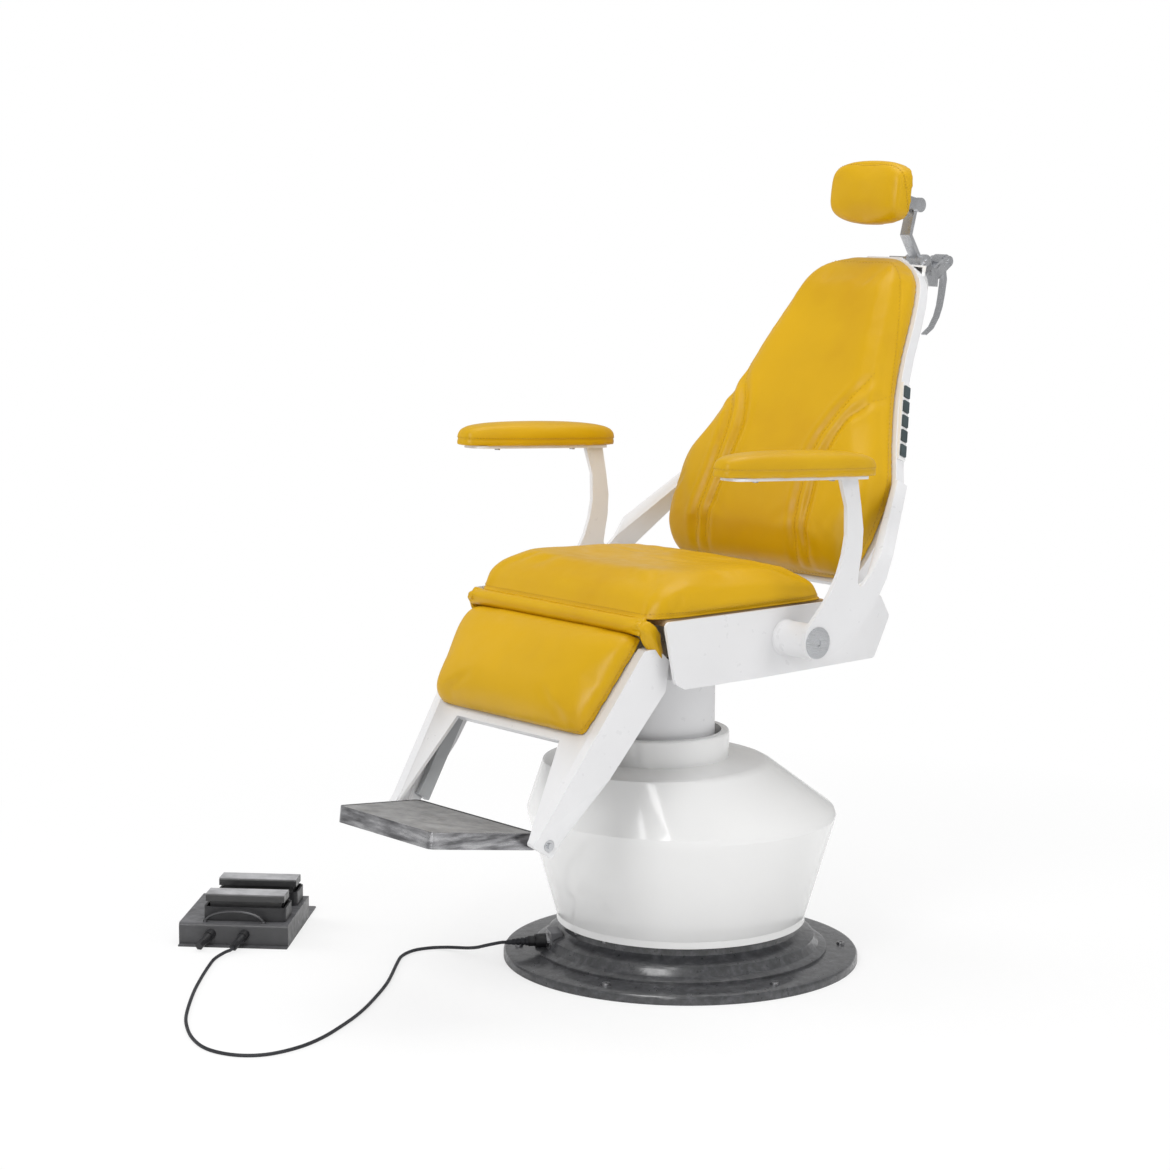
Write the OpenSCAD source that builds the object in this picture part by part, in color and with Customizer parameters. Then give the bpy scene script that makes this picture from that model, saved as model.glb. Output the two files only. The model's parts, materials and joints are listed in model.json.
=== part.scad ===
// Ear, nose and throat examination chair with a corded foot control.
// Millimetres, +Z up. The origin lies on the floor under the middle of the floor plate.
// The front of the chair faces -Y and +X is the sitter's left.

/* [Floor plate] */
// Diameter of the floor plate
base_d = 640; // [600:5:680]
// Height of the plate's outer edge
base_edge_h = 11; // [8:1:14]
// Height of the flange at the step
flange_h = 20; // [17:1:24]
// Diameter of the low step
step_d = 528; // [515:1:545]
// Height of the low step above the flange
step_h = 6; // [4:1:9]
// Diameter of the shoulder ring
shoulder_d = 486; // [470:2:500]
// Height of the shoulder ring above the floor
shoulder_h = 46; // [40:1:50]
// Thickness of the cast deck and walls
cast_t = 14; // [10:1:18]
// Number of floor screws
screw_count = 6; // [3:1:8]
// Diameter of a floor screw's head
screw_head_d = 14; // [12:1:16]

/* [Cover] */
// Height of the cover's rim above the floor
rim_z = 72; // [68:1:78]
// Diameter of the cover's rim
rim_d = 448; // [442:2:462]
// Height of the rim band
band_h = 13; // [10:1:16]
// Height of the widest ridge
ridge_z = 272; // [255:1:285]
// Diameter at the ridge
ridge_d = 558; // [530:2:580]
// Height of the crest round the top face
crest_z = 371; // [360:1:378]
// Diameter of the crest
crest_d = 404; // [390:2:420]
// Height of the collar's top
collar_z = 427; // [415:1:440]
// Wall thickness of the cover
cover_t = 4; // [3:0.5:6]
// Wall thickness of the collar
collar_t = 14; // [10:1:16]

/* [Column and lift] */
// Diameter of the round column
column_d = 210; // [200:2:216]
// Wall thickness of the column
column_t = 5; // [4:0.5:7]
// Distance of the column in front of the plate's middle
column_forward = 64; // [50:1:70]
// Gap between the column and the collar
collar_gap = 12; // [8:1:14]
// Travel of the lift upwards from rest
lift_up = 100; // [60:5:110]
// Travel of the lift downwards from rest
lift_down = 85; // [50:5:95]
// Diameter of the hydraulic cylinder
cylinder_d = 76; // [68:1:84]
// Diameter of the hydraulic rod
ram_d = 44; // [36:1:48]
// Diameter of the seat's swivel spindle
spindle_d = 50; // [40:1:60]

/* [Seat] */
// Height of the seat frame's underside
seat_z = 552; // [545:1:570]
// Width over the side panels
seat_w = 520; // [500:5:540]
// Height of a side panel
panel_h = 117; // [112:1:126]
// Length of a side panel
panel_l = 532; // [520:2:540]
// Thickness of a side panel's sheet
panel_t = 6; // [4:1:8]
// Thickness of the seat board
board_t = 12; // [9:1:15]
// Height of the seat cushion
cushion_h = 70; // [60:1:80]
// Width that the panels stand out past the seat cushion, at each side
cushion_inset = 6; // [2:1:14]
// Length of the seat cushion
cushion_l = 400; // [380:2:410]

/* [Back] */
// Lean of the back from upright, in degrees
back_lean = 25.3; // [23:0.1:27]
// Height of the recline shaft above the seat frame's underside
pivot_h = 65; // [62:1:68]
// Width of the back cushion
back_w = 504; // [490:2:512]
// Length of the back cushion
back_l = 632; // [620:2:650]
// Thickness of the back shell's edge
shell_t = 22; // [16:1:28]
// Depth of the rear cover
rear_d = 74; // [66:1:80]
// Width of one of the sewn channels
channel_w = 14; // [8:1:18]
// Depth of the sewn channels
channel_d = 6; // [3:0.5:8]

/* [Arms] */
// Gap between a side panel and its side plate
side_gap = 70; // [66:1:74]
// Thickness of a side plate
plate_t = 8; // [6:1:12]
// Length of an armrest pad
pad_l = 356; // [340:2:380]
// Width of an armrest pad
pad_w = 78; // [70:1:86]
// Thickness of an armrest pad
pad_h = 43; // [34:1:48]
// Diameter of the white pivot housing
housing_d = 60; // [54:1:66]

/* [Leg rest] */
// Slope of the leg rest below level, in degrees
leg_slope = 56; // [52:0.5:58]
// How far the leg frame stands in from the side panel, at each side
leg_inset = 25; // [22:1:30]
// Width over the leg frame at its foot
foot_w = 400; // [380:2:420]
// Length of the leg frame below its pivot
leg_l = 368; // [350:2:380]
// Thickness of the leg cushion
leg_cushion_h = 50; // [40:1:56]
// Length of the footrest
footrest_l = 190; // [170:2:200]
// Thickness of the footrest
footrest_h = 28; // [22:1:32]

/* [Headrest] */
// Width of the headrest cushion
head_w = 180; // [168:2:192]
// Height of the headrest cushion
head_h = 120; // [108:2:128]
// Thickness of the headrest cushion
head_t = 52; // [44:1:56]
// Width of the headrest's link bar
link_w = 24; // [20:1:28]
// Thickness of the headrest's link bar
link_t = 8; // [6:1:10]

/* [Foot control] */
// Width of the foot control
pedal_w = 202; // [190:2:212]
// Depth of the foot control's floor sheet
pedal_l = 300; // [285:5:320]
// Height of the tray
tray_h = 42; // [36:1:46]
// Width of a treadle
treadle_w = 146; // [136:2:150]
// Depth of a treadle
treadle_l = 62; // [56:1:66]
// Diameter of the control cord
cord_d = 6; // [5:0.5:7]

/* [Hidden] */
$fn = 64;
soft_fn = 32;
over = 1;        // overrun of every cut
fit = 0.05;      // radial clearance of a running fit
gap = 0.3;       // clearance between faces that pass each other
sliver = 0.02;   // seat of one solid on the next

white = "whitesmoke";
leather = "goldenrod";
iron = [0.33, 0.33, 0.34];
black = [0.13, 0.13, 0.13];
steel = "silver";
zinc = [0.66, 0.68, 0.7];

// Small vector helpers
function unit(v) = v / norm(v);
function mix(a, b, share) = a + (b - a) * share;
function scaled(shares, size) = [for (s = shares) [s.x * size.x, s.y * size.y]];
function middle(points) = [for (axis = [0:2]) mix(min([for (p = points) p[axis]]),
                                                  max([for (p = points) p[axis]]), 1 / 2)];

// Arc of points that rounds the corner b between a and c
function fillet(a, b, c, r, steps = 6) =
    let (u = unit(a - b), v = unit(c - b), half = acos(u * v) / 2,
         reach = min(r / tan(half), norm(a - b) / 2.1, norm(c - b) / 2.1),
         radius = reach * tan(half), centre = b + unit(u + v) * radius / sin(half),
         p = b + u * reach - centre, q = b + v * reach - centre,
         start = atan2(p.y, p.x), turn = atan2(q.y, q.x) - start,
         sweep = turn > 180 ? turn - 360 : turn < -180 ? turn + 360 : turn)
    [for (i = [0:steps]) centre + radius * [cos(start + sweep * i / steps),
                                            sin(start + sweep * i / steps)]];

// Outline with every corner rounded by the same radius
function rounded(points, r) =
    let (n = len(points))
    [for (i = [0:n - 1]) each fillet(points[(i + n - 1) % n], points[i], points[(i + 1) % n], r)];

// Outline of a box with rounded corners, centred on the origin
function pill(w, l, r) =
    rounded([[-w / 2, -l / 2], [w / 2, -l / 2], [w / 2, l / 2], [-w / 2, l / 2]], r);

// Closed skin through rings of points, each end closed by a fan
module loft(rings) {
    n = len(rings[0]);
    m = len(rings);
    side = [for (k = [0:m - 2]) for (i = [0:n - 1])
            let (a = k * n + i, b = k * n + (i + 1) % n) each [[a, a + n, b + n], [a, b + n, b]]];
    first = [for (i = [0:n - 1]) [m * n, i, (i + 1) % n]];
    last = [for (i = [0:n - 1]) [m * n + 1, (m - 1) * n + (i + 1) % n, (m - 1) * n + i]];
    polyhedron(concat([for (r = rings) each r], [middle(rings[0]), middle(rings[m - 1])]),
               concat(side, first, last));
}

// Flat outline in Y and Z, extruded along X
module slab_x(points, x0, x1) {
    translate([x0, 0, 0]) rotate([90, 0, 90]) linear_extrude(x1 - x0) polygon(points);
}

// Rod along X from x0 to x1
module rod_x(r, x0, x1, sides = $fn) {
    translate([x0, 0, 0]) rotate([0, 90, 0]) cylinder(r = r, h = x1 - x0, $fn = sides);
}

// Rod along Y from y0 to y1
module rod_y(r, y0, y1) {
    translate([0, y0, 0]) rotate([-90, 0, 0]) cylinder(r = r, h = y1 - y0);
}

// Tube standing on the XY plane
module tube(outer, inner, h) {
    difference() {
        cylinder(r = outer, h = h);
        translate([0, 0, -over]) cylinder(r = inner, h = h + 2 * over);
    }
}

module both_sides() {
    children();
    mirror([1, 0, 0]) children();
}

// Floor plate and its neck, which the cover's rim hangs round
neck_r = rim_d / 2 - cover_t - 5 * over;
neck_top = rim_z + band_h;
deck_z = rim_z - 6 * over;
screw_circle = (base_d + step_d) / 4;
base_edge_in = 8;
foot_ring_w = 46;
foot_boss_d = 120;
screw_shank_share = 0.6;
screw_seat_z = flange_h - 2.5;

module base_plate() {
    color(iron) difference() {
        rotate_extrude($fn = 96) polygon([
            [0, 0], [foot_boss_d / 2, 0], [foot_boss_d / 2, deck_z - cast_t],
            [shoulder_d / 2 - 3 * cast_t, deck_z - cast_t],
            [shoulder_d / 2 - 2 * cast_t, flange_h / 2], [base_d / 2 - foot_ring_w, flange_h / 2],
            [base_d / 2 - foot_ring_w, 0], [base_d / 2, 0], [base_d / 2, base_edge_h],
            [base_d / 2 - base_edge_in / 3, base_edge_h + base_edge_in / 2],
            [base_d / 2 - base_edge_in, base_edge_h + base_edge_in * 0.7],
            [step_d / 2, flange_h], [step_d / 2, flange_h + step_h * 0.7],
            [step_d / 2 - step_h / 2, flange_h + step_h],
            [shoulder_d / 2 + step_h, flange_h + step_h * 1.6],
            [shoulder_d / 2, mix(flange_h, shoulder_h, 0.7)],
            [shoulder_d / 2 - step_h / 3, shoulder_h - step_h / 4],
            [shoulder_d / 2 - step_h * 1.3, shoulder_h + step_h / 3],
            [neck_r + step_h, shoulder_h + step_h], [neck_r, shoulder_h + 2 * step_h],
            [neck_r, neck_top], [neck_r - cast_t, neck_top], [neck_r - cast_t, deck_z],
            [0, deck_z]]);
        floor_screw_places() {
            translate([0, 0, -over])
                cylinder(r = screw_head_d * screw_shank_share / 2 + gap, h = 2 * flange_h);
            translate([0, 0, screw_seat_z]) cylinder(r = screw_head_d / 2 + over, h = flange_h);
        }
        rotate([0, 0, outlet_turn]) translate([block_in, -block_w / 2 - gap, flange_h])
            cube([step_d / 2 + step_h - block_in, block_w + 2 * gap, neck_top]);
    }
}

module floor_screw_places() {
    for (i = [0:screw_count - 1])
        rotate([0, 0, -8 + 360 * i / screw_count]) translate([screw_circle, 0, 0]) children();
}

module floor_screws() {
    color(steel) floor_screw_places() difference() {
        union() {
            cylinder(r = screw_head_d * screw_shank_share / 2, h = screw_seat_z + over, $fn = 24);
            translate([0, 0, screw_seat_z])
                cylinder(r = screw_head_d / 2, h = screw_head_d / 3, $fn = 24);
        }
        translate([0, 0, screw_seat_z + over]) cylinder(r = screw_head_d / 5, h = screw_head_d, $fn = 6);
    }
}

// Cover: discs that rise from the rim to the top face, as [height, radius, forward share]
collar_r = column_d / 2 + collar_gap + collar_t;
top_z = crest_z + 9 * over;
ridge_round = 30;
function cover_discs() = [
    [neck_top, rim_d / 2 + over, 0],
    [ridge_z - ridge_round / 2, ridge_d / 2 - ridge_round * 0.14, 0],
    [ridge_z - ridge_round / 6, ridge_d / 2 - ridge_round * 0.05, 0],
    [ridge_z + ridge_round / 6, ridge_d / 2 - ridge_round * 0.1, 0.05],
    [ridge_z + ridge_round * 0.6, ridge_d / 2 - ridge_round * 0.46, 0.19],
    [crest_z - ridge_round / 6, crest_d / 2 + ridge_round * 0.12, 0.93],
    [crest_z, crest_d / 2 - ridge_round * 0.06, 1],
    [crest_z + ridge_round / 10, crest_d / 2 - ridge_round * 0.35, 1],
    [top_z, collar_r, 1]];

module cover_body(inset) {
    hull() for (disc = cover_discs())
        translate([0, -column_forward * disc[2], disc[0] - inset])
            cylinder(r = disc[1] - inset, h = sliver);
}

module pedestal_cover() {
    band_r = rim_d / 2;
    ledge_t = cover_t;
    color(white) {
        difference() {
            union() {
                cover_body(0);
                translate([0, -column_forward, crest_z]) rotate_extrude()
                    polygon([[0, 0], [collar_r, 0], [collar_r, collar_z - crest_z - collar_t / 3],
                             [collar_r - collar_t / 8, collar_z - crest_z - collar_t / 10],
                             [collar_r - collar_t / 3, collar_z - crest_z],
                             [0, collar_z - crest_z]]);
            }
            cover_body(cover_t);
            translate([0, -column_forward, ridge_z])
                cylinder(r = collar_r - collar_t, h = collar_z);
            cylinder(r = band_r - cover_t, h = neck_top + ledge_t);
        }
        translate([0, 0, neck_top]) tube(rim_d / 2 - over, neck_r - cast_t / 2, ledge_t);
        translate([0, 0, rim_z]) tube(band_r, band_r - cover_t, band_h + over);
    }
}

// Lift: guide tube, hydraulic cylinder and rod on the column's axis
guide_r = column_d / 2 - column_t - 4 * over;
guide_t = 6;
guide_top = collar_z - 30 * over;
column_foot = guide_top - lift_up - 2 * cast_t * 2;
rod_foot = deck_z + cast_t + lift_down + 10 * over;
cylinder_top = seat_z - lift_down - spindle_d * 3;
head_t_share = 0.16;
head_plate = spindle_d * head_t_share;
washer_t = 6;
head_z = seat_z - gap - washer_t;
spindle_l = spindle_d;
hub_foot = head_z - spindle_l - cast_t * 1.4;

module at_column() {
    translate([0, -column_forward, 0]) children();
}

module lift_guide() {
    flange_r = guide_r + cast_t;
    color(iron) at_column() difference() {
        union() {
            translate([0, 0, deck_z]) cylinder(r = flange_r, h = cast_t / 2);
            translate([0, 0, deck_z]) cylinder(r = guide_r, h = guide_top - deck_z);
            for (z = [guide_top - cast_t, guide_top - 3 * cast_t])
                translate([0, 0, z]) cylinder(r = column_d / 2 - column_t - fit, h = cast_t);
        }
        translate([0, 0, deck_z + over / 2])
            cylinder(r = guide_r - guide_t, h = guide_top);
    }
}

module lift_cylinder() {
    gland = cast_t;
    color(steel) at_column() difference() {
        translate([0, 0, deck_z + over / 2])
            cylinder(r = cylinder_d / 2, h = cylinder_top - deck_z);
        translate([0, 0, deck_z + cast_t])
            cylinder(r = (cylinder_d + ram_d) / 4, h = cylinder_top - deck_z - cast_t - gland);
        translate([0, 0, deck_z + cast_t]) cylinder(r = ram_d / 2 + fit, h = cylinder_top);
    }
}

module lift_rod() {
    piston_h = cast_t;
    color("gainsboro") at_column() {
        translate([0, 0, rod_foot]) cylinder(r = ram_d / 2, h = hub_foot - rod_foot);
        translate([0, 0, rod_foot]) cylinder(r = (cylinder_d + ram_d) / 4 - fit, h = piston_h);
    }
}

tank_w = 150;
tank_l = 80;
tank_h = 110;

module oil_tank() {
    color(black) translate([0, guide_r - column_forward + cast_t + tank_l / 2 + gap, deck_z])
        difference() {
            linear_extrude(tank_h) polygon(pill(tank_w, tank_l, cast_t));
            translate([0, 0, cast_t / 2])
                linear_extrude(tank_h - cast_t) polygon(pill(tank_w - cast_t, tank_l - cast_t, cast_t));
            translate([0, 0, tank_h / 2]) cylinder(r = cast_t, h = tank_h);
        }
}

module pump_motor() {
    motor_r = tank_l / 2;
    pump_r = motor_r * 0.7;
    motor_l = tank_h;
    port_r = cast_t / 2;
    color(iron) translate([0, guide_r - column_forward + cast_t + tank_l / 2 + gap, deck_z + tank_h]) {
        cylinder(r = pump_r, h = tank_l / 4);
        translate([0, 0, tank_l / 4]) cylinder(r = motor_r, h = motor_l * 0.6);
        translate([tank_w / 3, 0, 0]) cylinder(r = port_r, h = tank_l / 3);
    }
}

// Cord outlet on the neck, and what is plugged into it, along a line out of the plate
outlet_turn = -118;
outlet_z = 40;
block_w = 46;
block_h = 36;
block_in = neck_r + cast_t / 2;
block_face = neck_r + 2 * cast_t;
socket_t = 6;
plug_r = 12.5;
plug_l = 32;
relief_l = 40;

module at_outlet(out) {
    rotate([0, 0, outlet_turn]) translate([out, 0, outlet_z]) rotate([0, 90, 0]) children();
}

module connector_block() {
    color(iron) rotate([0, 0, outlet_turn])
        translate([block_in + sliver, -block_w / 2, flange_h + sliver])
            cube([block_face - block_in - 2 * sliver, block_w, outlet_z + block_h / 2 - flange_h]);
}

module panel_connector() {
    flange_w = plug_r * 2.4;
    screw_r = socket_t * 0.35;
    color(zinc) at_outlet(block_face) {
        linear_extrude(socket_t / 3) polygon(pill(block_h - over, flange_w * 1.2, screw_r));
        cylinder(r = plug_r, h = socket_t);
        for (side = [-1, 1])
            translate([0, side * flange_w * 0.48, 0]) cylinder(r = screw_r, h = socket_t, $fn = 6);
    }
}

module control_plug() {
    color(black) at_outlet(block_face + socket_t) {
        cylinder(r = plug_r, h = plug_l * 0.6);
        translate([0, 0, plug_l * 0.6]) cylinder(r = plug_r * 0.75, h = plug_l * 0.4);
    }
}

module strain_relief() {
    rings = 5;
    color(black) at_outlet(block_face + socket_t + plug_l) rotate_extrude()
        polygon(concat([[0, 0]], [for (i = [0:rings - 1])
            let (z = relief_l * i / rings, r = mix(plug_r * 0.62, cord_d * 0.62, i / rings))
            each [[r, z], [r, z + relief_l * 0.12], [r * 0.8, z + relief_l * 0.13],
                  [r * 0.8, z + relief_l * 0.19]]], [[cord_d / 2, relief_l], [0, relief_l]]));
}

// Control cord: its route over the floor, chosen by hand, from the strain relief to the gland
cord_way = [
    [-174, -308, 34], [-202, -309, 24], [-235, -305, 15],
    [-265, -304, 9], [-292, -311, 5], [-312, -332, 3.2], [-317, -365, 3.2], [-302, -402, 3.2],
    [-270, -437, 3.2], [-184, -521, 3.2], [-116, -600, 3.2], [-65, -667, 3.2], [-26, -730, 3.2],
    [8, -795, 3.2], [26, -855, 3.2], [24, -915, 3.2], [-6, -955, 3.2], [-60, -972, 3.2],
    [-125, -959, 3.2], [-197, -925, 3.2], [-256, -886, 3.2], [-343, -818, 3.2], [-412, -758, 3.2],
    [-470, -704, 3.2], [-498, -674, 4], [-511, -645, 7]];
cord_sides = 8;
cord_steps = 3;
cord_lead = 10;

// Point turned about the vertical axis
function turned(p, a) = [p.x * cos(a) - p.y * sin(a), p.x * sin(a) + p.y * cos(a), p.z];

// Point on the smooth curve through four route points
function curve(p0, p1, p2, p3, t) =
    ((2 * p1) + (p2 - p0) * t + (2 * p0 - 5 * p1 + 4 * p2 - p3) * t * t
     + (3 * p1 - p0 - 3 * p2 + p3) * t * t * t) / 2;
function route_points(pts, steps) =
    let (n = len(pts))
    concat([for (i = [0:n - 2]) for (k = [0:steps - 1])
        curve(pts[max(i - 1, 0)], pts[i], pts[i + 1], pts[min(i + 2, n - 1)], k / steps)],
        [pts[n - 1]]);

// Rings of a round tube swept along points that run roughly level
function tube_rings(pts, r, sides) =
    let (n = len(pts))
    [for (i = [0:n - 1])
        let (ahead = unit(pts[min(i + 1, n - 1)] - pts[max(i - 1, 0)]),
             across = unit(cross(ahead, [0, 0, 1])), up = cross(across, ahead))
        [for (k = [0:sides - 1])
            pts[i] + r * (across * cos(360 * k / sides) + up * sin(360 * k / sides))]];

module control_cord() {
    outlet_dir = turned([1, 0, 0], outlet_turn);
    relief_out = block_face + socket_t + plug_l + relief_l;
    relief_end = turned([relief_out + sliver, 0, outlet_z], outlet_turn);
    gland_dir = turned(turned([0, -cos(gland_drop), -sin(gland_drop)], -gland_turn), pedal_turn);
    gland_foot = [pedal_place.x, pedal_place.y, 0]
        + turned([gland_places[1] * pedal_w, pedal_l * tray_front, gland_z], pedal_turn);
    gland_end = gland_foot + gland_dir * (gland_l * 0.95 + sliver);
    route = concat([relief_end, relief_end + outlet_dir * cord_lead], cord_way,
                   [gland_end + gland_dir * cord_lead, gland_end]);
    color(black) loft(tube_rings(route_points(route, cord_steps), cord_d / 2, cord_sides));
}

// Foot control, in its own frame: X across, Y towards its rear
pedal_place = [-654, -499];
pedal_turn = 45;
sheet_t = 2.5;
tray_front = -0.46;
tray_back = 0.25;
gland_places = [-0.21, 0.1];
gland_r = 8;
gland_l = 50;
gland_z = 22;
gland_drop = 14;
gland_turn = 15;
housing_w = 152;
housing_l = 66;
housing_side = 17;
switch_h = 26;
housing_pitch = 117;
treadle_t = 14;
treadle_gap = 9;
treadle_pin_r = 4;

module at_pedal() {
    translate([pedal_place.x, pedal_place.y, 0]) rotate([0, 0, pedal_turn]) children();
}

module pedal_tray() {
    color(black) at_pedal() {
        linear_extrude(sheet_t) polygon(pill(pedal_w, pedal_l, sheet_t));
        difference() {
            tray_shape(0);
            tray_shape(3 * sheet_t);
            translate([0, 0, -over]) linear_extrude(sheet_t + over)
                polygon(pill(pedal_w, pedal_l, sheet_t));
            for (place = gland_places) translate([place * pedal_w, 0, gland_z])
                rod_y(gland_r / 2, pedal_l * tray_front - over, pedal_l * tray_front + 4 * sheet_t);
        }
    }
}

// Tray with a rounded upper front edge, smaller by inset on every side
module tray_shape(inset) {
    y0 = pedal_l * tray_front + inset;
    y1 = pedal_l * tray_back - inset;
    top = tray_h - inset;
    slab_x(concat(fillet([y0, 0], [y0, top], [y1, top], tray_h / 6), [[y1, top], [y1, 0], [y0, 0]]),
           -pedal_w / 2 + inset, pedal_w / 2 - inset);
}

module pedal_glands() {
    color(black) at_pedal() difference() {
        for (place = gland_places) translate([place * pedal_w, pedal_l * tray_front, gland_z])
            rotate([90 + gland_drop, 0, -gland_turn]) {
            translate([0, 0, -gland_r / 2]) cylinder(r = gland_r * 1.2, h = gland_l * 0.2 + gland_r / 2);
            translate([0, 0, gland_l * 0.2]) cylinder(r1 = gland_r, r2 = gland_r * 0.8, h = gland_l * 0.45);
            translate([0, 0, gland_l * 0.65]) cylinder(r = gland_r * 0.95, h = gland_l * 0.3, $fn = 6);
        }
        tray_shape(-sliver);
    }
}

module pedal_hoop() {
    hoop_w = 108;
    hoop_h = 22;
    wire_r = 2;
    steps = 12;
    pts = [for (i = [0:steps]) let (a = 180 * i / steps)
        [-hoop_w / 2 * cos(a), pedal_l * tray_front + 10 * over - hoop_h / 4 * sin(a),
         tray_h + hoop_h * sin(a)]];
    color(iron) at_pedal() {
        loft(tube_rings_up(pts, wire_r));
        for (side = [-1, 1])
            translate([side * hoop_w / 2, pedal_l * tray_front + 10 * over, tray_h])
                cylinder(r = 2 * wire_r, h = 2 * wire_r, $fn = 20);
    }
}

// Rings of a thin wire whose route stands up, six-sided
function tube_rings_up(pts, r) =
    let (n = len(pts))
    [for (i = [0:n - 1])
        let (ahead = unit(pts[min(i + 1, n - 1)] - pts[max(i - 1, 0)]),
             across = unit(cross(ahead, [0, 1, 0])), side = cross(across, ahead))
        [for (k = [0:5]) pts[i] + r * (across * cos(60 * k) + side * sin(60 * k))]];

module at_treadle(row) {
    translate([housing_side, pedal_l * -0.285 + row * housing_pitch, tray_h]) children();
}

module switch_housings() {
    color(black) at_pedal() for (row = [0, 1]) at_treadle(row) difference() {
        union() {
            difference() {
                linear_extrude(switch_h) polygon(pill(housing_w, housing_l, 3 * sheet_t));
                translate([0, 0, switch_h / 2]) linear_extrude(switch_h)
                    polygon(pill(housing_w - 3 * sheet_t, housing_l - 3 * sheet_t, sheet_t));
            }
            for (side = [-1, 1])
                translate([side * housing_w / 3, housing_l / 2 - 3 * treadle_pin_r, 0])
                    rotate([90, 0, 0]) linear_extrude(sheet_t) square(sheet_t);
            translate([0, housing_l / 2 - 3 * treadle_pin_r, switch_h])
                rod_x(treadle_pin_r, -housing_w / 2 + sheet_t, housing_w / 2 - sheet_t, 24);
        }
    }
}

// Treadle: a sill that turns on its housing's rear pin
module treadle() {
    nose = treadle_l / 2 - treadle_t * 0.3;
    pin_y = housing_l / 2 - 3 * treadle_pin_r;
    low = switch_h + treadle_gap;
    top = low + treadle_t;
    difference() {
        union() {
            slab_x(concat(fillet([-nose, low], [-nose, top], [pin_y, top], treadle_t / 3),
                          fillet([-nose, top], [nose - treadle_t / 2, top],
                                 [nose - treadle_t / 2, low], treadle_t / 3),
                          [[nose - treadle_t / 2, low], [-nose, low]]),
                   -treadle_w / 2, treadle_w / 2);
            slab_x([[-nose + treadle_t / 2, low + over], [treadle_t, low + over],
                    [treadle_t, switch_h - treadle_t / 3], [-nose + treadle_t / 2, switch_h - treadle_t / 3]],
                   -treadle_w / 2 + treadle_t / 2, treadle_w / 2 - treadle_t / 2);
            for (side = [-1, 1]) translate([side * treadle_w / 4, 0, 0])
                slab_x([[pin_y - 2 * treadle_pin_r, low + over], [pin_y + 1.6 * treadle_pin_r, low + over],
                        [pin_y + 1.6 * treadle_pin_r, switch_h - 2 * treadle_pin_r],
                        [pin_y - 2 * treadle_pin_r, switch_h - 2 * treadle_pin_r]],
                       -treadle_pin_r, treadle_pin_r);
        }
        translate([0, pin_y, switch_h]) rod_x(treadle_pin_r + fit, -treadle_w, treadle_w);
    }
}

module front_treadle() {
    color(black) at_pedal() at_treadle(0) treadle();
}

module rear_treadle() {
    color(black) at_pedal() at_treadle(1) treadle();
}

// Column and its head
module column_tube() {
    color(white) at_column() translate([0, 0, column_foot])
        tube(column_d / 2, column_d / 2 - column_t, head_z - head_plate - column_foot);
}

module column_head() {
    color(steel) at_column() difference() {
        union() {
            translate([0, 0, head_z - head_plate]) cylinder(r = column_d / 2, h = head_plate);
            translate([0, 0, hub_foot]) cylinder(r = spindle_d * 0.9, h = head_z - hub_foot);
        }
        translate([0, 0, head_z - spindle_l - over])
            cylinder(r = spindle_d / 2 + fit, h = spindle_l + 2 * over);
    }
}

module thrust_washer() {
    color("goldenrod") at_column() translate([0, 0, head_z])
        tube(spindle_d * 1.2, spindle_d / 2 + gap, washer_t);
}

// Seat: plate, beams and ears that carry everything above the swivel
cushion_w = seat_w - 2 * cushion_inset;
arms_w = seat_w + 2 * (side_gap + plate_t);
leg_w = seat_w - 2 * leg_inset;
panel_space = 20;
seat_in = seat_w / 2 - panel_space;
beam_w = 18;
beam_front = -222;
beam_back = 140;
plate_z = 8;
plate_front = -190;
plate_back = 60;
beam_top = seat_z + panel_h - board_t;
pivot_z = seat_z + pivot_h;
shaft_r = 14;
leg_pivot = [-275, seat_z + 46];
hinge_r = 11;
ear_t = 12;
ear_x = leg_w / 2 - beam_w - 2 * ear_t - 4 * over;

module seat_frame() {
    color(white) {
        difference() {
            union() {
                translate([-seat_in, plate_front, seat_z])
                    cube([2 * seat_in, plate_back - plate_front, plate_z]);
                both_sides() translate([seat_in - beam_w, beam_front, seat_z])
                    cube([beam_w, beam_back - beam_front, beam_top - seat_z]);
                translate([-seat_in, plate_back - beam_w, seat_z])
                    cube([2 * seat_in, beam_w, pivot_h - shaft_r - 6 * over]);
                both_sides() ear();
            }
            translate([0, 0, pivot_z]) rod_x(shaft_r + over, -seat_w, seat_w);
            translate([0, leg_pivot.x, leg_pivot.y]) rod_x(hinge_r + fit, -seat_w, seat_w);
        }
        at_column() translate([0, 0, head_z - spindle_l])
            cylinder(r = spindle_d / 2, h = seat_z - head_z + spindle_l + over);
    }
}

// Ear that holds the leg frame's hinge tube, in front of the seat plate
module ear() {
    ear_r = hinge_r + ear_t;
    y1 = plate_front + plate_z;
    slab_x([[leg_pivot.x, leg_pivot.y - ear_r], [y1, seat_z], [y1, seat_z + 3 * plate_z],
            [leg_pivot.x, leg_pivot.y + ear_r * 0.9]], ear_x, ear_x + ear_t);
    translate([0, leg_pivot.x, leg_pivot.y]) rod_x(ear_r * 0.9, ear_x, ear_x + ear_t);
}

module seat_board() {
    board_front = -252;
    board_back = 118;
    color("burlywood") translate([0, (board_front + board_back) / 2, beam_top]) linear_extrude(board_t)
        polygon(pill(2 * seat_in - 2 * gap, board_back - board_front, board_t));
}

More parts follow.
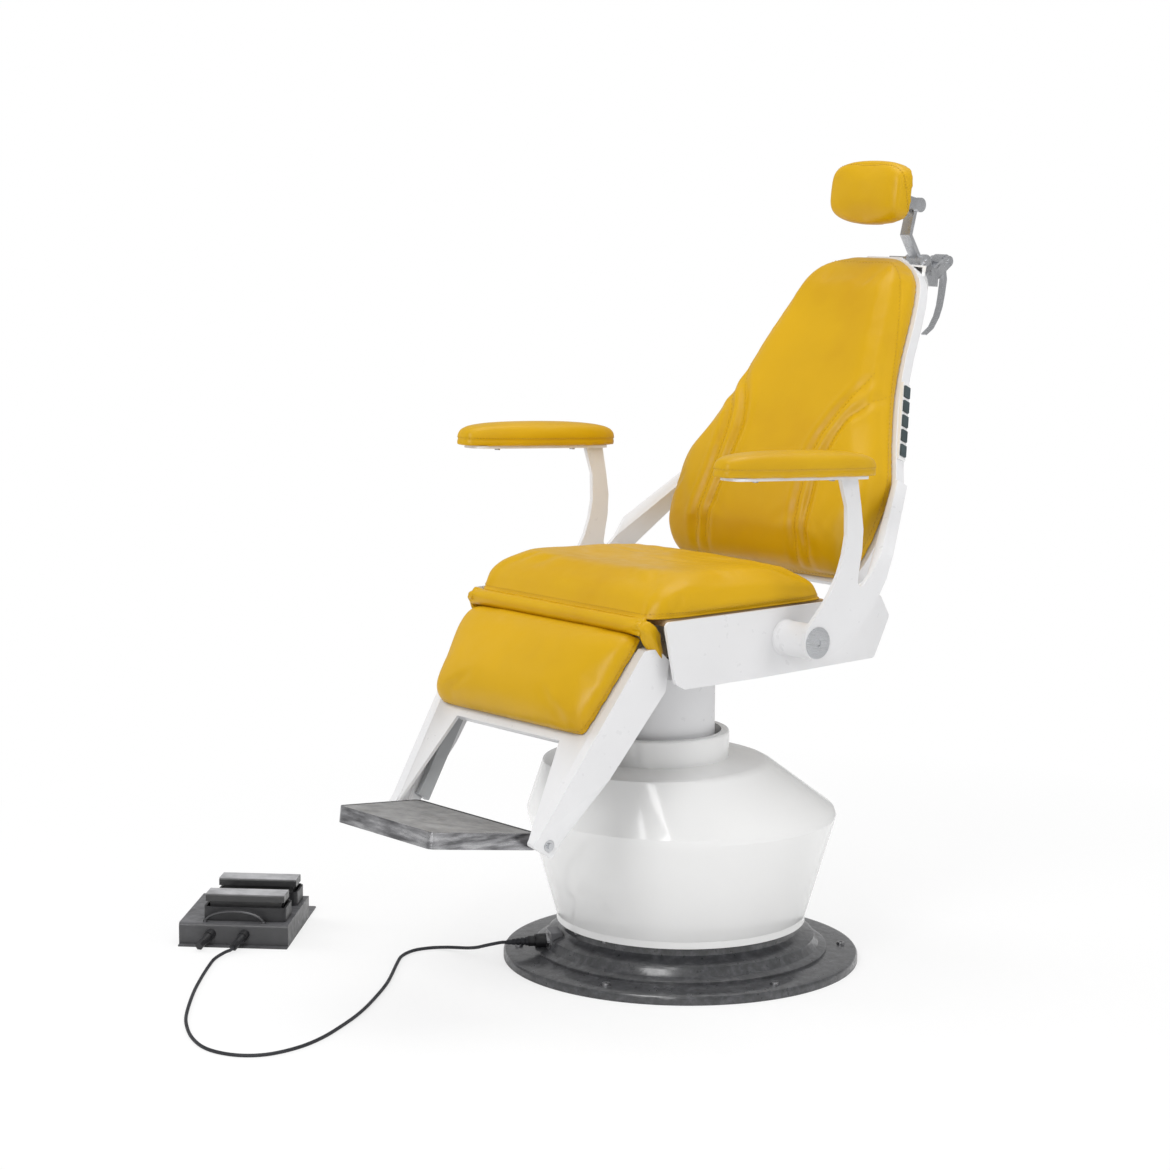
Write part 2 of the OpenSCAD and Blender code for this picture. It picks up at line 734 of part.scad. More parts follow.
// Side panel: outline as shares of its length and height, from its lower front corner
panel_y = -276;
panel_pads = [-200, 110];
panel_shares = [[0, 1], [0.045, 0.1], [0.085, 0], [0.42, 0.005], [0.93, 0.05], [1, 0.66], [0.955, 1]];
function panel_outline() =
    [for (p = rounded(scaled(panel_shares, [panel_l, panel_h]), panel_space / 2))
        p + [panel_y, seat_z]];

module side_panel() {
    difference() {
        union() {
            slab_x(panel_outline(), seat_w / 2 - panel_t, seat_w / 2);
            translate([0, 0, pivot_z]) rod_x(2 * shaft_r, seat_in, seat_w / 2 - over);
            for (y = panel_pads) translate([0, y, pivot_z])
                rod_x(shaft_r, seat_in, seat_w / 2 - over);
        }
        translate([0, 0, pivot_z]) rod_x(shaft_r + fit, seat_in - over, seat_w);
    }
}

module side_panel_left() {
    color(white) side_panel();
}

module side_panel_right() {
    color(white) mirror([1, 0, 0]) side_panel();
}

// Round housing that carries the recline shaft out to the side plates
housing_out = arms_w / 2 - plate_t - gap;

module pivot_housings() {
    flange_t = plate_t / 4;
    color(white) translate([0, 0, pivot_z]) both_sides() difference() {
        union() {
            rod_x(housing_d / 2, seat_w / 2, housing_out);
            rod_x(housing_d / 2 + flange_t, seat_w / 2, seat_w / 2 + flange_t);
        }
        rod_x(shaft_r + fit, seat_w / 2 - over, housing_out + over);
    }
}

// Soft forms: a section is a boxy arch, a length is a row of sections that swell in the middle
function power(v, e) = sign(v) * pow(abs(v), e);
function arch(w, h, e, steps) =
    [for (i = [0:steps]) let (a = 180 * i / steps) [-w * power(cos(a), e), h * pow(sin(a), e)]];
function swell(u, low, p) = low + (1 - low) * pow(max(1 - pow(abs(2 * u - 1), p), 0), 1 / p);

// Seat cushion: front at u = 0, with a thick rounded front and a dished top
cushion_z = seat_z + panel_h + gap;
cushion_front = -286;
cushion_steps = 22;
cushion_waist_share = 0.965;
dish = 12;

seat_top_shares = [[0, 0.25], [0.02, 0.5], [0.06, 0.76], [0.14, 0.95], [0.25, 1], [0.6, 0.93], [0.85, 0.8],
                   [0.95, 0.72], [0.985, 0.6], [1, 0.35]];
seat_plan_shares = [[0, 0.86], [0.02, 0.915], [0.06, 0.96], [0.14, 0.99], [0.25, 1], [0.9, 1], [0.97, 0.98],
                    [1, 0.92]];

function seat_section(u) =
    let (y = cushion_front + cushion_l * u, top = lookup(u, seat_top_shares),
         plan = lookup(u, seat_plan_shares))
    [for (p = arch(1, 1, 0.42, 26))
        let (side = 1 - (1 - cushion_waist_share) * pow(1 - p.y, 2),
             hollow = p.y > 0.9 ? dish * sin(180 * min(u * 1.15, 1)) * pow(1 - p.x * p.x, 1.5) : 0)
        [p.x * cushion_w / 2 * plan * side, y, cushion_z + (cushion_h * p.y - hollow) * top]];

module seat_cushion() {
    color(leather)
        loft([for (k = [0:cushion_steps]) seat_section((1 - cos(180 * k / cushion_steps)) / 2)]);
}

// Leather flap that closes the gap between the seat and the leg rest
flap_steps = 12;
flap_w = leg_w - 6 * over;
flap_gather = 0.8;
flap_r = [13, 9.6];
flap_place = [leg_pivot.x - 19, cushion_z - 10.8];

module leg_flap() {
    color(leather) loft([for (k = [0:flap_steps])
        let (u = k / flap_steps, x = flap_w * (u - 0.5), fat = swell(u, 0.55, 4),
             gather = flap_gather * cos(360 * 4 * u))
        [for (i = [0:9]) let (a = -36 * i)
            [x, flap_place.x + flap_r.x * fat * cos(a),
             flap_place.y + (flap_r.y + gather) * fat * sin(a)]]]);
}

// Actuators: a tube with a motor beside it, and a rod whose pin works a slotted lever
recline_lever = 34;
recline_mid = 20;
leg_lever = 24;
leg_mid = 17.5;
drive_pin_r = 5;
drive_rod_r = 7;
drive_tube_r = 12;
drive_x = seat_in - beam_w - 6 * drive_tube_r;
drive_back = -172;
drive_front = -62;
slot_play = 1.6;
fork_t = 5;
lever_t = 10;

module actuator(z) {
    motor_r = drive_tube_r * 1.5;
    difference() {
        union() {
            rod_y(drive_tube_r, drive_back, drive_front);
            translate([-1.9 * drive_tube_r, 0, motor_r - drive_tube_r])
                rod_y(motor_r, drive_back, mix(drive_back, drive_front, 0.6));
            translate([-2 * drive_tube_r, drive_back, z])
                cube([3 * drive_tube_r, 2 * drive_tube_r, -z - drive_tube_r / 2]);
        }
        rod_y(drive_rod_r + fit, drive_back - over, drive_front + over);
    }
}

recline_pin_y = recline_lever * tan(recline_mid);
recline_pin_z = pivot_z - recline_lever;
leg_pin_y = leg_pivot.x + leg_lever * tan(leg_mid);
leg_pin_z = leg_pivot.y - leg_lever;

module recline_actuator() {
    color(black) translate([-drive_x, 0, recline_pin_z]) actuator(seat_z + plate_z - recline_pin_z);
}

module leg_actuator() {
    color(black) mirror([1, 0, 0]) translate([-drive_x, 0, leg_pin_z])
        actuator(seat_z + plate_z - leg_pin_z);
}

// Rod between its inner end and the fork that straddles the lever
module drive_rod(inner, pin_y) {
    away = pin_y > inner ? 1 : -1;
    fork_y = pin_y - away * 4 * drive_pin_r;
    mouth = lever_t / 2 + over;
    translate([0, min(inner, fork_y), 0]) rotate([-90, 0, 0])
        cylinder(r = drive_rod_r, h = abs(fork_y - inner));
    for (side = [-1, 1])
        translate([side * (mouth + fork_t / 2) - fork_t / 2, min(fork_y, pin_y) - drive_pin_r,
                   -drive_pin_r * 1.4])
            cube([fork_t, abs(fork_y - pin_y) + 2 * drive_pin_r, drive_pin_r * 2.8]);
    translate([-mouth, fork_y - (away > 0 ? drive_pin_r : 0), -drive_pin_r * 1.4])
        cube([2 * mouth, drive_pin_r, drive_pin_r * 2.8]);
    translate([0, pin_y, 0]) rod_x(drive_pin_r, -mouth - fork_t, mouth + fork_t, 32);
}

module recline_rod() {
    color(steel) translate([-drive_x, 0, recline_pin_z]) drive_rod(drive_front - 36 * over, recline_pin_y);
}

module leg_rod() {
    color(steel) translate([drive_x, 0, leg_pin_z]) drive_rod(drive_back + 40 * over, leg_pin_y);
}

// Slotted lever below a shaft, hanging straight down
module slotted_lever(length, reach, shaft) {
    slot_r = drive_pin_r + slot_play;
    difference() {
        union() {
            rod_x(shaft + lever_t / 2, -lever_t / 2, lever_t / 2);
            slab_x([[-slot_r - fork_t, 0], [-slot_r - fork_t / 2, -length * reach - slot_r - fork_t / 3],
                    [slot_r + fork_t / 2, -length * reach - slot_r - fork_t / 3], [slot_r + fork_t, 0]],
                   -lever_t / 2, lever_t / 2);
        }
        slab_x([[-slot_r, -length + slot_r], [-slot_r, -length * reach - drive_pin_r],
                [slot_r, -length * reach - drive_pin_r], [slot_r, -length + slot_r]],
               -lever_t, lever_t);
    }
}

module recline_shaft() {
    color(steel) translate([0, 0, pivot_z]) {
        rod_x(shaft_r, -arms_w / 2, arms_w / 2);
        translate([-drive_x, 0, 0]) rotate([recline_mid, 0, 0]) slotted_lever(recline_lever, 1.32, shaft_r);
    }
}

// Back frame of reference: X across, Y to the rear, Z up along the back, from the recline shaft
module on_back() {
    translate([0, 0, pivot_z]) rotate([-back_lean, 0, 0]) children();
}

// Side plate: arm post and back rail in one, round the shaft. Shares of the post's reach.
post_l = 260;
post_h = 275;
post_shares = [[-0.115, -0.018], [-0.108, 0.073], [-0.05, 0.131], [0.058, 0.233], [0.119, 0.309],
               [0.188, 0.415], [0.231, 0.524], [0.258, 0.647], [0.254, 0.825], [0.215, 0.938],
               [0.19, 1.015], [0.345, 1.015], [0.385, 0.818], [0.408, 0.676], [0.4, 0.538],
               [0.377, 0.429], [0.362, 0.345], [0.385, 0.32], [0.415, 0.324], [0.485, 0.382],
               [0.577, 0.502], [0.696, 0.491], [0.635, 0.345], [0.577, 0.258], [0.431, 0.084],
               [0.231, -0.051], [0.077, -0.105], [-0.038, -0.105], [-0.096, -0.069]];
rail_foot_shares = [[0.485, 0.382], [0.577, 0.258], [0.696, 0.491], [0.577, 0.502]];
rail_reach = [138, 322];

module side_plate() {
    out = arms_w / 2;
    shell_x = back_w / 2 - 3 * over;
    difference() {
        union() {
            translate([0, 0, pivot_z])
                slab_x(rounded(scaled(post_shares, [post_l, post_h]), plate_t * 0.8), out - plate_t, out);
            hull() {
                translate([0, 0, pivot_z]) slab_x(scaled(rail_foot_shares, [post_l, post_h]),
                                                 out - plate_t, out);
                on_back() translate([shell_x, rail_reach.x, rail_reach.y])
                    cube([plate_t * 1.2, 1.25 * shell_t, shell_t]);
            }
        }
        translate([0, 0, pivot_z]) rod_x(shaft_r, out - plate_t - over, out + over);
        on_back() shell_body(-shell_t, shell_t + sliver, shell_margin + sliver);
    }
}

module side_plate_left() {
    color(white) side_plate();
}

module side_plate_right() {
    color(white) mirror([1, 0, 0]) side_plate();
}

module pivot_caps() {
    cap_r = housing_d / 2 - 3 * over;
    cap_t = plate_t / 3;
    hex_r = cap_r / 4;
    color(steel) translate([0, 0, pivot_z]) both_sides() difference() {
        rod_x(cap_r, arms_w / 2, arms_w / 2 + cap_t);
        rod_x(hex_r, arms_w / 2 + cap_t / 3, arms_w / 2 + 2 * cap_t, 6);
    }
}

// Back cushion: half width and front face along the back, as shares of its length
back_foot = 148;
back_face = 146;
back_width_shares = [[0, 0.84], [0.02, 0.89], [0.07, 0.95], [0.15, 0.99], [0.238, 1], [0.296, 0.985],
                     [0.346, 0.93], [0.408, 0.86], [0.49, 0.785], [0.57, 0.715], [0.662, 0.65],
                     [0.754, 0.59], [0.846, 0.522], [0.91, 0.462], [0.955, 0.38], [0.985, 0.27],
                     [1, 0.16]];
back_depth_shares = [[0, 0.45], [0.03, 0.75], [0.08, 0.95], [0.15, 1], [0.32, 1.03], [0.46, 0.87],
                     [0.55, 0.8], [0.73, 0.84], [0.88, 0.93], [0.94, 0.84], [0.98, 0.55], [1, 0.3]];
back_thick = 74;
back_bow_shares = [[0, 0], [0.55, 0], [0.68, 0.2], [0.85, 0.75], [0.94, 1], [1, 1]];
back_bow = 32;
channel_in_shares = [[0, 0.475], [0.07, 0.465], [0.27, 0.4], [0.37, 0.405], [0.47, 0.49], [0.55, 0.6],
                     [0.6, 0.64], [1, 0.3]];
channel_out_shares = [[0, 0.59], [0.07, 0.57], [0.27, 0.53], [0.36, 0.545], [0.44, 0.6], [0.5, 0.7],
                      [0.56, 0.74], [1, 0.36]];
channel_fade_shares = [[0, 0.6], [0.05, 1], [0.47, 1], [0.56, 0], [1, 0]];
back_rows = 32;
side_wave = 2;

function back_half(u) = back_w / 2 * lookup(u, back_width_shares);
function back_rear(u) = back_face + back_bow * lookup(u, back_bow_shares);

// Half of a section of the back cushion, from the middle to the rear edge, as [x, y]
function back_half_section(u) =
    let (w = back_half(u), rear = back_rear(u), deep = back_thick * lookup(u, back_depth_shares),
         a = min(back_w / 2 * lookup(u, channel_in_shares), w * 0.8),
         b = min(back_w / 2 * lookup(u, channel_out_shares), w * 0.87),
         sew = channel_d * lookup(u, channel_fade_shares), g = channel_w / 2,
         crown = 0.06 * deep, face = rear - deep)
    [[a * 0.35, face - crown * 0.2], [a * 0.7, face - crown * 0.4], [a - g, face - crown * 0.5],
     [a, face + sew], [a + g, face - crown], [b - g, face - crown], [b, face + sew],
     [b + g, face - crown * 0.9], [mix(b, w, 0.6), face + deep * 0.01], [mix(b, w, 0.85), face + deep * 0.07],
     [w - deep * 0.08, face + deep * 0.2], [w, face + deep * 0.42], [w + side_wave, face + deep * 0.72],
     [w - 2 * side_wave, rear]];

function back_section(u) =
    let (half = back_half_section(u), z = back_foot + back_l * u, n = len(half))
    concat([for (i = [n - 1:-1:0]) [-half[i].x, half[i].y, z]],
           [for (i = [0:n - 1]) [half[i].x, half[i].y, z]]);

module back_cushion() {
    color(leather) on_back()
        loft([for (k = [0:back_rows]) back_section((1 - cos(180 * k / back_rows)) / 2)]);
}

// Back shell: a flat tray behind the cushion, with its edge turned to the rear
shell_wall = 4;
shell_margin = 4;

function shell_ring(u, y0, y1, margin) =
    let (w = back_half(u) + margin, end = u == 0 ? -margin : u == 1 ? margin : 0,
         z = back_foot + back_l * u + end, rear = back_rear(u))
    [[-w, rear + y1, z], [-w, rear + y0, z], [w, rear + y0, z], [w, rear + y1, z]];

module shell_body(y0, y1, margin) {
    loft([for (k = [0:back_rows])
        shell_ring((1 - cos(180 * k / back_rows)) / 2, y0, y1, margin)]);
}

module back_shell() {
    color(white) on_back() difference() {
        shell_body(sliver, shell_t, shell_margin);
        shell_body(shell_wall, shell_t + over, shell_margin - shell_wall);
    }
}

// Rear cover: a hump that is wide at the foot and narrow at the top
hump_foot_w = 330;
hump_top_w = 120;
hump_rise_shares = [[0, 0.25], [0.08, 0.7], [0.2, 1], [0.9, 1], [0.97, 0.9], [1, 0.6]];

function hump_ring(u, inset) =
    let (w = back_half(u) + shell_margin - shell_wall - gap - inset,
         top = mix(hump_foot_w, hump_top_w, u) / 2 - inset,
         z = mix(back_foot + inset, back_foot + back_l - inset, u),
         y = back_rear(u) + shell_wall + gap, rise = rear_d * lookup(u, hump_rise_shares) - inset,
         edge = shell_t - shell_wall)
    [[-w, y - (inset > 0 ? over : 0), z], [w, y - (inset > 0 ? over : 0), z],
     [w, y + edge - inset, z], [top + rear_d * 0.35, y + edge + rear_d * 0.06 - inset, z],
     [top + rear_d * 0.08, y + rise * 0.88 , z], [top - rear_d * 0.2, y + rise, z],
     [-top + rear_d * 0.2, y + rise, z], [-top - rear_d * 0.08, y + rise * 0.88, z],
     [-top - rear_d * 0.35, y + edge + rear_d * 0.06 - inset, z], [-w, y + edge - inset, z]];

module hump(inset) {
    loft([for (k = [0:back_rows]) hump_ring((1 - cos(180 * k / back_rows)) / 2, inset)]);
}

// Headrest post: slides in the rear cover's top
post_r = 13;
post_y = back_face + back_bow + rear_d * 0.62;
post_grip = 190;
post_low = back_foot + back_l - post_grip;
mount_z = back_foot + back_l + 6 * over;

module rear_cover() {
    color(white) on_back() {
        difference() {
            hump(0);
            difference() {
                hump(shell_wall);
                translate([0, post_y, post_low - 2 * over]) cylinder(r = post_r * 1.7, h = back_l);
            }
            translate([0, post_y, post_low]) cylinder(r = post_r + fit, h = back_l);
        }
    }
}

// Keys on the near edge of the shell, tilted with its taper
key_count = 5;
key_pitch = 29;
key_z = 458;
key_w = 17;
key_l = 22;
key_travel = 1.5;
key_tilt = -19;
key_case_t = 5;
key_stand = 0.5;
key_u = (key_z - back_foot) / back_l;

module at_keys() {
    on_back() translate([back_half(key_u) + shell_margin + key_case_t * key_stand,
                         back_rear(key_u) + shell_t / 2, key_z])
        rotate([0, key_tilt, 0]) children();
}

module key_housing() {
    long = key_count * key_pitch + key_pitch / 4;
    color(black) at_keys() difference() {
        translate([-2 * key_case_t, -key_w / 2 - over, -long / 2])
            cube([3 * key_case_t, key_w + 2 * over, long]);
        rotate([0, -key_tilt, 0]) translate([-back_half(key_u) - shell_margin - key_case_t * key_stand,
                                             -back_rear(key_u) - shell_t / 2, -key_z])
            shell_body(-over, shell_t + over, shell_margin + sliver);
        for (i = [1:key_count]) translate([key_case_t / 2, 0, key_offset(i)])
            translate([0, -key_w / 2 + over - gap, -key_l / 2 - gap])
                cube([key_case_t, key_w - 2 * over + 2 * gap, key_l + 2 * gap]);
    }
}

function key_offset(i) = (i - (key_count + 1) / 2) * key_pitch;

module key(i) {
    color(zinc) at_keys()
        translate([key_case_t / 2 + key_travel + gap, -key_w / 2 + over, key_offset(i) - key_l / 2])
            cube([key_case_t / 2 + key_travel, key_w - 2 * over, key_l]);
}

// Armrests on the tops of the posts
arm_x = arms_w / 2 + 3 * over;
arm_top = 900;
arm_middle = -60;
arm_tilt = 3;
arm_plate_t = 5;
arm_screw_places = [-0.26, 0.24];

module at_arm() {
    translate([arm_x, arm_middle, arm_top]) rotate([-arm_tilt, 0, 0]) children();
}

module arm_plates() {
    color(white) both_sides() difference() {
        at_arm() linear_extrude(arm_plate_t) polygon(pill(pad_w * 0.62, pad_l * 0.9, pad_w / 4));
        for (side = arm_screw_places) at_arm() translate([0, side * pad_l, -over])
            cylinder(r = arm_plate_t / 2 + gap, h = arm_plate_t + 2 * over, $fn = 24);
        translate([0, 0, pivot_z]) slab_x(rounded(scaled(post_shares, [post_l, post_h]), plate_t * 0.8),
                                          arms_w / 2 - plate_t - sliver, arms_w / 2 + sliver);
    }
}

module arm_screws() {
    color(steel) both_sides() for (side = arm_screw_places) at_arm() translate([0, side * pad_l, 0]) {
        translate([0, 0, -arm_plate_t * 0.8])
            cylinder(r = arm_plate_t, h = arm_plate_t * 0.8, $fn = 24);
        translate([0, 0, -over]) cylinder(r = arm_plate_t / 2, h = arm_plate_t + over, $fn = 24);
    }
}

pad_rows = 18;

module arm_pads() {
    color(leather) both_sides() at_arm() translate([0, 0, arm_plate_t + sliver])
        loft([for (k = [0:pad_rows])
            let (u = (1 - cos(180 * k / pad_rows)) / 2, plan = swell(u, 0.3, 2.6), fat = swell(u, 0.35, 3.4))
            [for (p = arch(pad_w / 2 * plan, pad_h * fat, 0.5, 14))
                [p.x * (1 - 0.08 * pow(1 - p.y / pad_h, 2)), pad_l * (u - 0.5), p.y]]]);
}

// Headrest mount: a post with a square block on its corner, and ears for the link
mount_r = 17;
mount_w = 44;
post_top = [post_y, mount_z];
mount_place = post_top + [68, 8];
link_place = post_top + [40, 25];
link_pin_r = 6;

module headrest_mount() {
    color(zinc) on_back() {
        translate([0, post_y, post_low + cast_t])
            cylinder(r = post_r, h = mount_z - post_low - cast_t + over);
        difference() {
            union() {
                translate([-mount_w / 2, post_y - post_r, mount_z])
                    cube([mount_w, mount_place.x - post_y + post_r, cast_t]);
                translate([-mount_w / 2, mount_place.x, mount_place.y]) rotate([45 - back_lean, 0, 0])
                    translate([0, -mount_r, -mount_r]) cube([mount_w, 2 * mount_r, 2 * mount_r]);
                translate([0, link_place.x, link_place.y]) rod_x(mount_r * 0.9, -mount_w / 2, mount_w / 2);
                hull() for (p = [link_place, mount_place])
                    translate([0, p.x, p.y]) rod_x(mount_r * 0.6, -mount_w / 2, mount_w / 2, soft_fn);
            }
            translate([0, link_place.x, link_place.y])
                rod_x(mount_r + over, -link_w / 2 - gap, link_w / 2 + gap);
            translate([0, link_place.x, link_place.y]) rod_x(link_pin_r + fit, -mount_w, mount_w);
        }
        clamp_bracket();
    }
}

// Two cheeks that carry the clamping lever's pin up behind the block
module clamp_bracket() {
    difference() {
        for (side = [-1, 1]) hull() {
            translate([side * mount_w / 2, mount_place.x + mount_r / 2, mount_place.y + mount_r / 2])
                rod_x(mount_r * 0.6, side > 0 ? -cheek_t : 0, side > 0 ? 0 : cheek_t, soft_fn);
            translate([side * mount_w / 2, lever_place.x, lever_place.y])
                rod_x(mount_r * 0.6, side > 0 ? -cheek_t : 0, side > 0 ? 0 : cheek_t, soft_fn);
        }
        translate([0, lever_place.x, lever_place.y]) rod_x(lever_pin_r + fit, -mount_w, mount_w);
    }
}

// Link: knuckle, flat bar up to the elbow, and on to the hinge behind the cushion
elbow_place = post_top + [-11, 58];
tilt_place = post_top + [-21, 115];

module headrest_link() {
    pts = [link_place, elbow_place, tilt_place];
    color(zinc) on_back() {
        difference() {
            union() {
                translate([0, link_place.x, link_place.y]) rod_x(mount_r * 0.8, -link_w / 2, link_w / 2);
                for (i = [0:1]) hull() for (p = [pts[i], pts[i + 1]])
                    translate([0, p.x, p.y]) rod_x(link_t / 2, -link_w / 2, link_w / 2, soft_fn);
                translate([0, tilt_place.x, tilt_place.y]) rod_x(mount_r * 0.6, -link_w / 2, link_w / 2);
            }
            translate([0, tilt_place.x, tilt_place.y]) rod_x(link_pin_r * 0.8 + fit, -link_w, link_w);
        }
        translate([0, link_place.x, link_place.y])
            rod_x(link_pin_r, -mount_w / 2 - link_t / 2, mount_w / 2 + link_t / 2);
    }
}

// Clamping lever: a hub between the cheeks and a curved handle that hangs down
lever_place = mount_place + [30, 46];
lever_pin_r = 5;
cheek_t = 9;
handle_shares = [[0.1, -0.05], [0.36, -0.2], [0.5, -0.4], [0.58, -0.55], [0.6, -0.7], [0.53, -0.87],
                 [0.34, -1]];
handle_reach = [60, 142];

module clamp_lever() {
    hub_r = mount_r * 0.75;
    hub_w = mount_w - 2 * cheek_t - 2 * gap;
    n = len(handle_shares);
    color(steel) on_back() translate([0, lever_place.x, lever_place.y]) {
        rod_x(hub_r, -hub_w / 2, hub_w / 2);
        rod_x(lever_pin_r, -mount_w / 2 - over, mount_w / 2 + over);
        for (i = [0:n - 2]) hull() for (k = [i, i + 1])
            translate([0, handle_shares[k].x * handle_reach.x, handle_shares[k].y * handle_reach.y])
                rod_x(mix(link_t * 0.6, link_t / 5, k / (n - 1)), -link_w / 4, link_w / 4, soft_fn / 2);
    }
}

// Hinge behind the headrest cushion: plate, arm and a fork round the link's end
head_tilt = 8;
head_place = post_top + [-115, 94];
function back_to_world(p) = [p.x * cos(back_lean) + p.y * sin(back_lean),
                             pivot_z - p.x * sin(back_lean) + p.y * cos(back_lean)];

module at_head() {
    p = back_to_world(head_place);
    translate([0, p.x, p.y]) rotate([-head_tilt, 0, 0]) children();
}

module headrest_hinge() {
    plate_w = head_w * 0.6;
    plate_h = head_h * 0.6;
    p = back_to_world(tilt_place);
    fork_w = (mount_w - link_w) / 2 - gap;
    color(zinc) {
        at_head() translate([-plate_w / 2, sliver, -plate_h / 2]) cube([plate_w, link_t / 2, plate_h]);
        both_sides() {
            translate([0, p.x, p.y]) rod_x(mount_r * 0.8, link_w / 2 + gap, link_w / 2 + gap + fork_w);
            hull() {
                translate([0, p.x, p.y])
                    rod_x(mount_r * 0.6, link_w / 2 + gap, link_w / 2 + gap + fork_w, soft_fn);
                at_head() translate([link_w / 2 + gap, link_t / 4, -mount_r])
                    cube([fork_w, link_t / 4, 1.6 * mount_r]);
            }
        }
        translate([0, p.x, p.y]) rod_x(link_pin_r * 0.8, -mount_w / 2, mount_w / 2);
    }
}

head_rows = 16;
head_wing = 12;

module headrest_cushion() {
    color(leather) at_head() mirror([0, 1, 0])
        loft([for (k = [0:head_rows])
            let (u = (1 - cos(180 * k / head_rows)) / 2, tall = swell(u, 0.4, 2.6), fat = swell(u, 0.4, 3.5))
            [for (p = arch(head_h / 2 * tall, (head_t - head_wing * sin(180 * u)) * fat, 0.5, 20))
                [head_w * (u - 0.5), p.y, p.x]]]);
}

// Leg frame of reference: X across, -Z down along the leg, -Y out of its front face
module on_leg() {
    translate([0, leg_pivot.x, leg_pivot.y]) rotate([leg_slope - 90, 0, 0]) children();
}

leg_face = -33;
leg_edge_share = -leg_face / leg_l;
leg_plate_t = 6;
leg_flange_t = 18;
leg_splay = atan((leg_w - foot_w) / 2 / leg_l);
window_top = -178;
window_w = 278;
arm_shares = [[-leg_edge_share, 0.0163], [-leg_edge_share, -0.9375], [-0.0978, -1], [0.0353, -0.9946],
              [0.0353, -0.9239], [0.1033, -0.5571], [0.1359, -0.0761], [0.0652, 0.0489], [-0.0272, 0.0598]];
bolt_lift = 19;
bolt_at = [-5.4, bolt_lift - leg_l];

// Side arm of the leg frame, turned in a little towards the foot
module leg_arm() {
    difference() {
        translate([leg_w / 2, 0, 0]) rotate([0, leg_splay, 0])
            slab_x(rounded(scaled(arm_shares, [leg_l, leg_l]), leg_plate_t), -leg_flange_t, 0);
        translate([0, bolt_at.x, bolt_at.y]) {
            rod_x(bolt_r + fit, 0, seat_w);
            rod_x(washer_r + gap, bolt_face, seat_w);
        }
    }
}

bolt_r = 6;
washer_r = 10;
bolt_face = foot_w / 2 + leg_l * 0.002;
bolt_reach = 48;
bolt_in = foot_w / 2 - bolt_reach;

module leg_frame() {
    top_z = 0;
    edge = leg_flange_t / 2;
    color(white) on_leg() {
        difference() {
            union() {
                both_sides() leg_arm();
                translate([0, leg_face + leg_plate_t, 0]) rotate([90, 0, 0]) linear_extrude(leg_plate_t)
                    polygon([[-leg_w / 2 + edge, top_z], [-foot_w / 2 + edge, -leg_l + leg_plate_t],
                             [-foot_w / 2 + 2 * edge, -leg_l + leg_plate_t],
                             [-window_w / 2, window_top], [window_w / 2, window_top],
                             [foot_w / 2 - 2 * edge, -leg_l + leg_plate_t],
                             [foot_w / 2 - edge, -leg_l + leg_plate_t], [leg_w / 2 - edge, top_z]]);
                translate([-window_w / 2 - edge, leg_face, window_top])
                    cube([window_w + 2 * edge, leg_flange_t, leg_plate_t]);
            }
        }
        rod_x(hinge_r, -leg_w / 2 + edge, leg_w / 2 - edge);
        translate([drive_x, 0, 0]) rotate([90 - leg_slope + leg_mid, 0, 0])
            slotted_lever(leg_lever, 1.12, hinge_r);
    }
}

leg_cushion_z = [-164, 29];
leg_fat_shares = [[0, 0.4], [0.02, 0.62], [0.06, 0.82], [0.12, 0.95], [0.2, 1], [0.7, 1], [0.8, 0.93],
                  [0.87, 0.83], [0.91, 0.73], [0.95, 0.62], [0.98, 0.48], [1, 0.3]];

module leg_cushion() {
    rows = 18;
    color(leather) on_leg() translate([0, leg_face - sliver, 0]) mirror([0, 1, 0])
        loft([for (k = [rows:-1:0])
            let (u = (1 - cos(180 * k / rows)) / 2, z = mix(leg_cushion_z[0], leg_cushion_z[1], u),
                 w = mix(foot_w - 8 * over, leg_w - 12 * over, u * 0.8 + 0.2) / 2 * swell(u, 0.88, 7),
                 fat = lookup(u, leg_fat_shares))
            [for (p = arch(w, leg_cushion_h * fat, 0.4, 22))
                [p.x * (1 - 0.035 * pow(1 - p.y / leg_cushion_h, 2)), p.y, z]]]);
}

module leg_rails() {
    rail_w = 12;
    rail_d = 26;
    color("lightgray") on_leg() both_sides()
        translate([leg_w / 2, 0, 0]) rotate([0, leg_splay, 0])
            translate([-leg_flange_t - rail_w - sliver, leg_face + leg_plate_t + 24 * over, -leg_l + 40 * over])
                cube([rail_w, rail_d, leg_l - 90 * over]);
}

module leg_bolts() {
    color(steel) on_leg() both_sides() translate([0, bolt_at.x, bolt_at.y]) {
        rod_x(bolt_r, bolt_in, bolt_face + over);
        rod_x(washer_r, bolt_face, bolt_face + 1.5 * over);
        rod_x(bolt_r * 0.8, bolt_face + over, bolt_face + 5 * over, 6);
    }
}

// Footrest: a shallow tray between the feet of the arms
footrest_tilt = 7;
footrest_front_share = 0.77;

module at_footrest() {
    p = foot_pivot();
    translate([0, p.x, p.y]) rotate([-footrest_tilt, 0, 0]) children();
}

function foot_pivot() =
    let (a = leg_slope - 90)
    [leg_pivot.x + bolt_at.x * cos(a) - bolt_at.y * sin(a),
     leg_pivot.y + bolt_at.x * sin(a) + bolt_at.y * cos(a)];

function footrest_outline(inset) =
    let (back = foot_w / 2 - 2 * leg_flange_t + 3 * over - inset, front = back * footrest_front_share + inset / 3,
         l = footrest_l - inset)
    [[-back, 8 * over - inset], [-front, -l], [front, -l], [back, 8 * over - inset]];

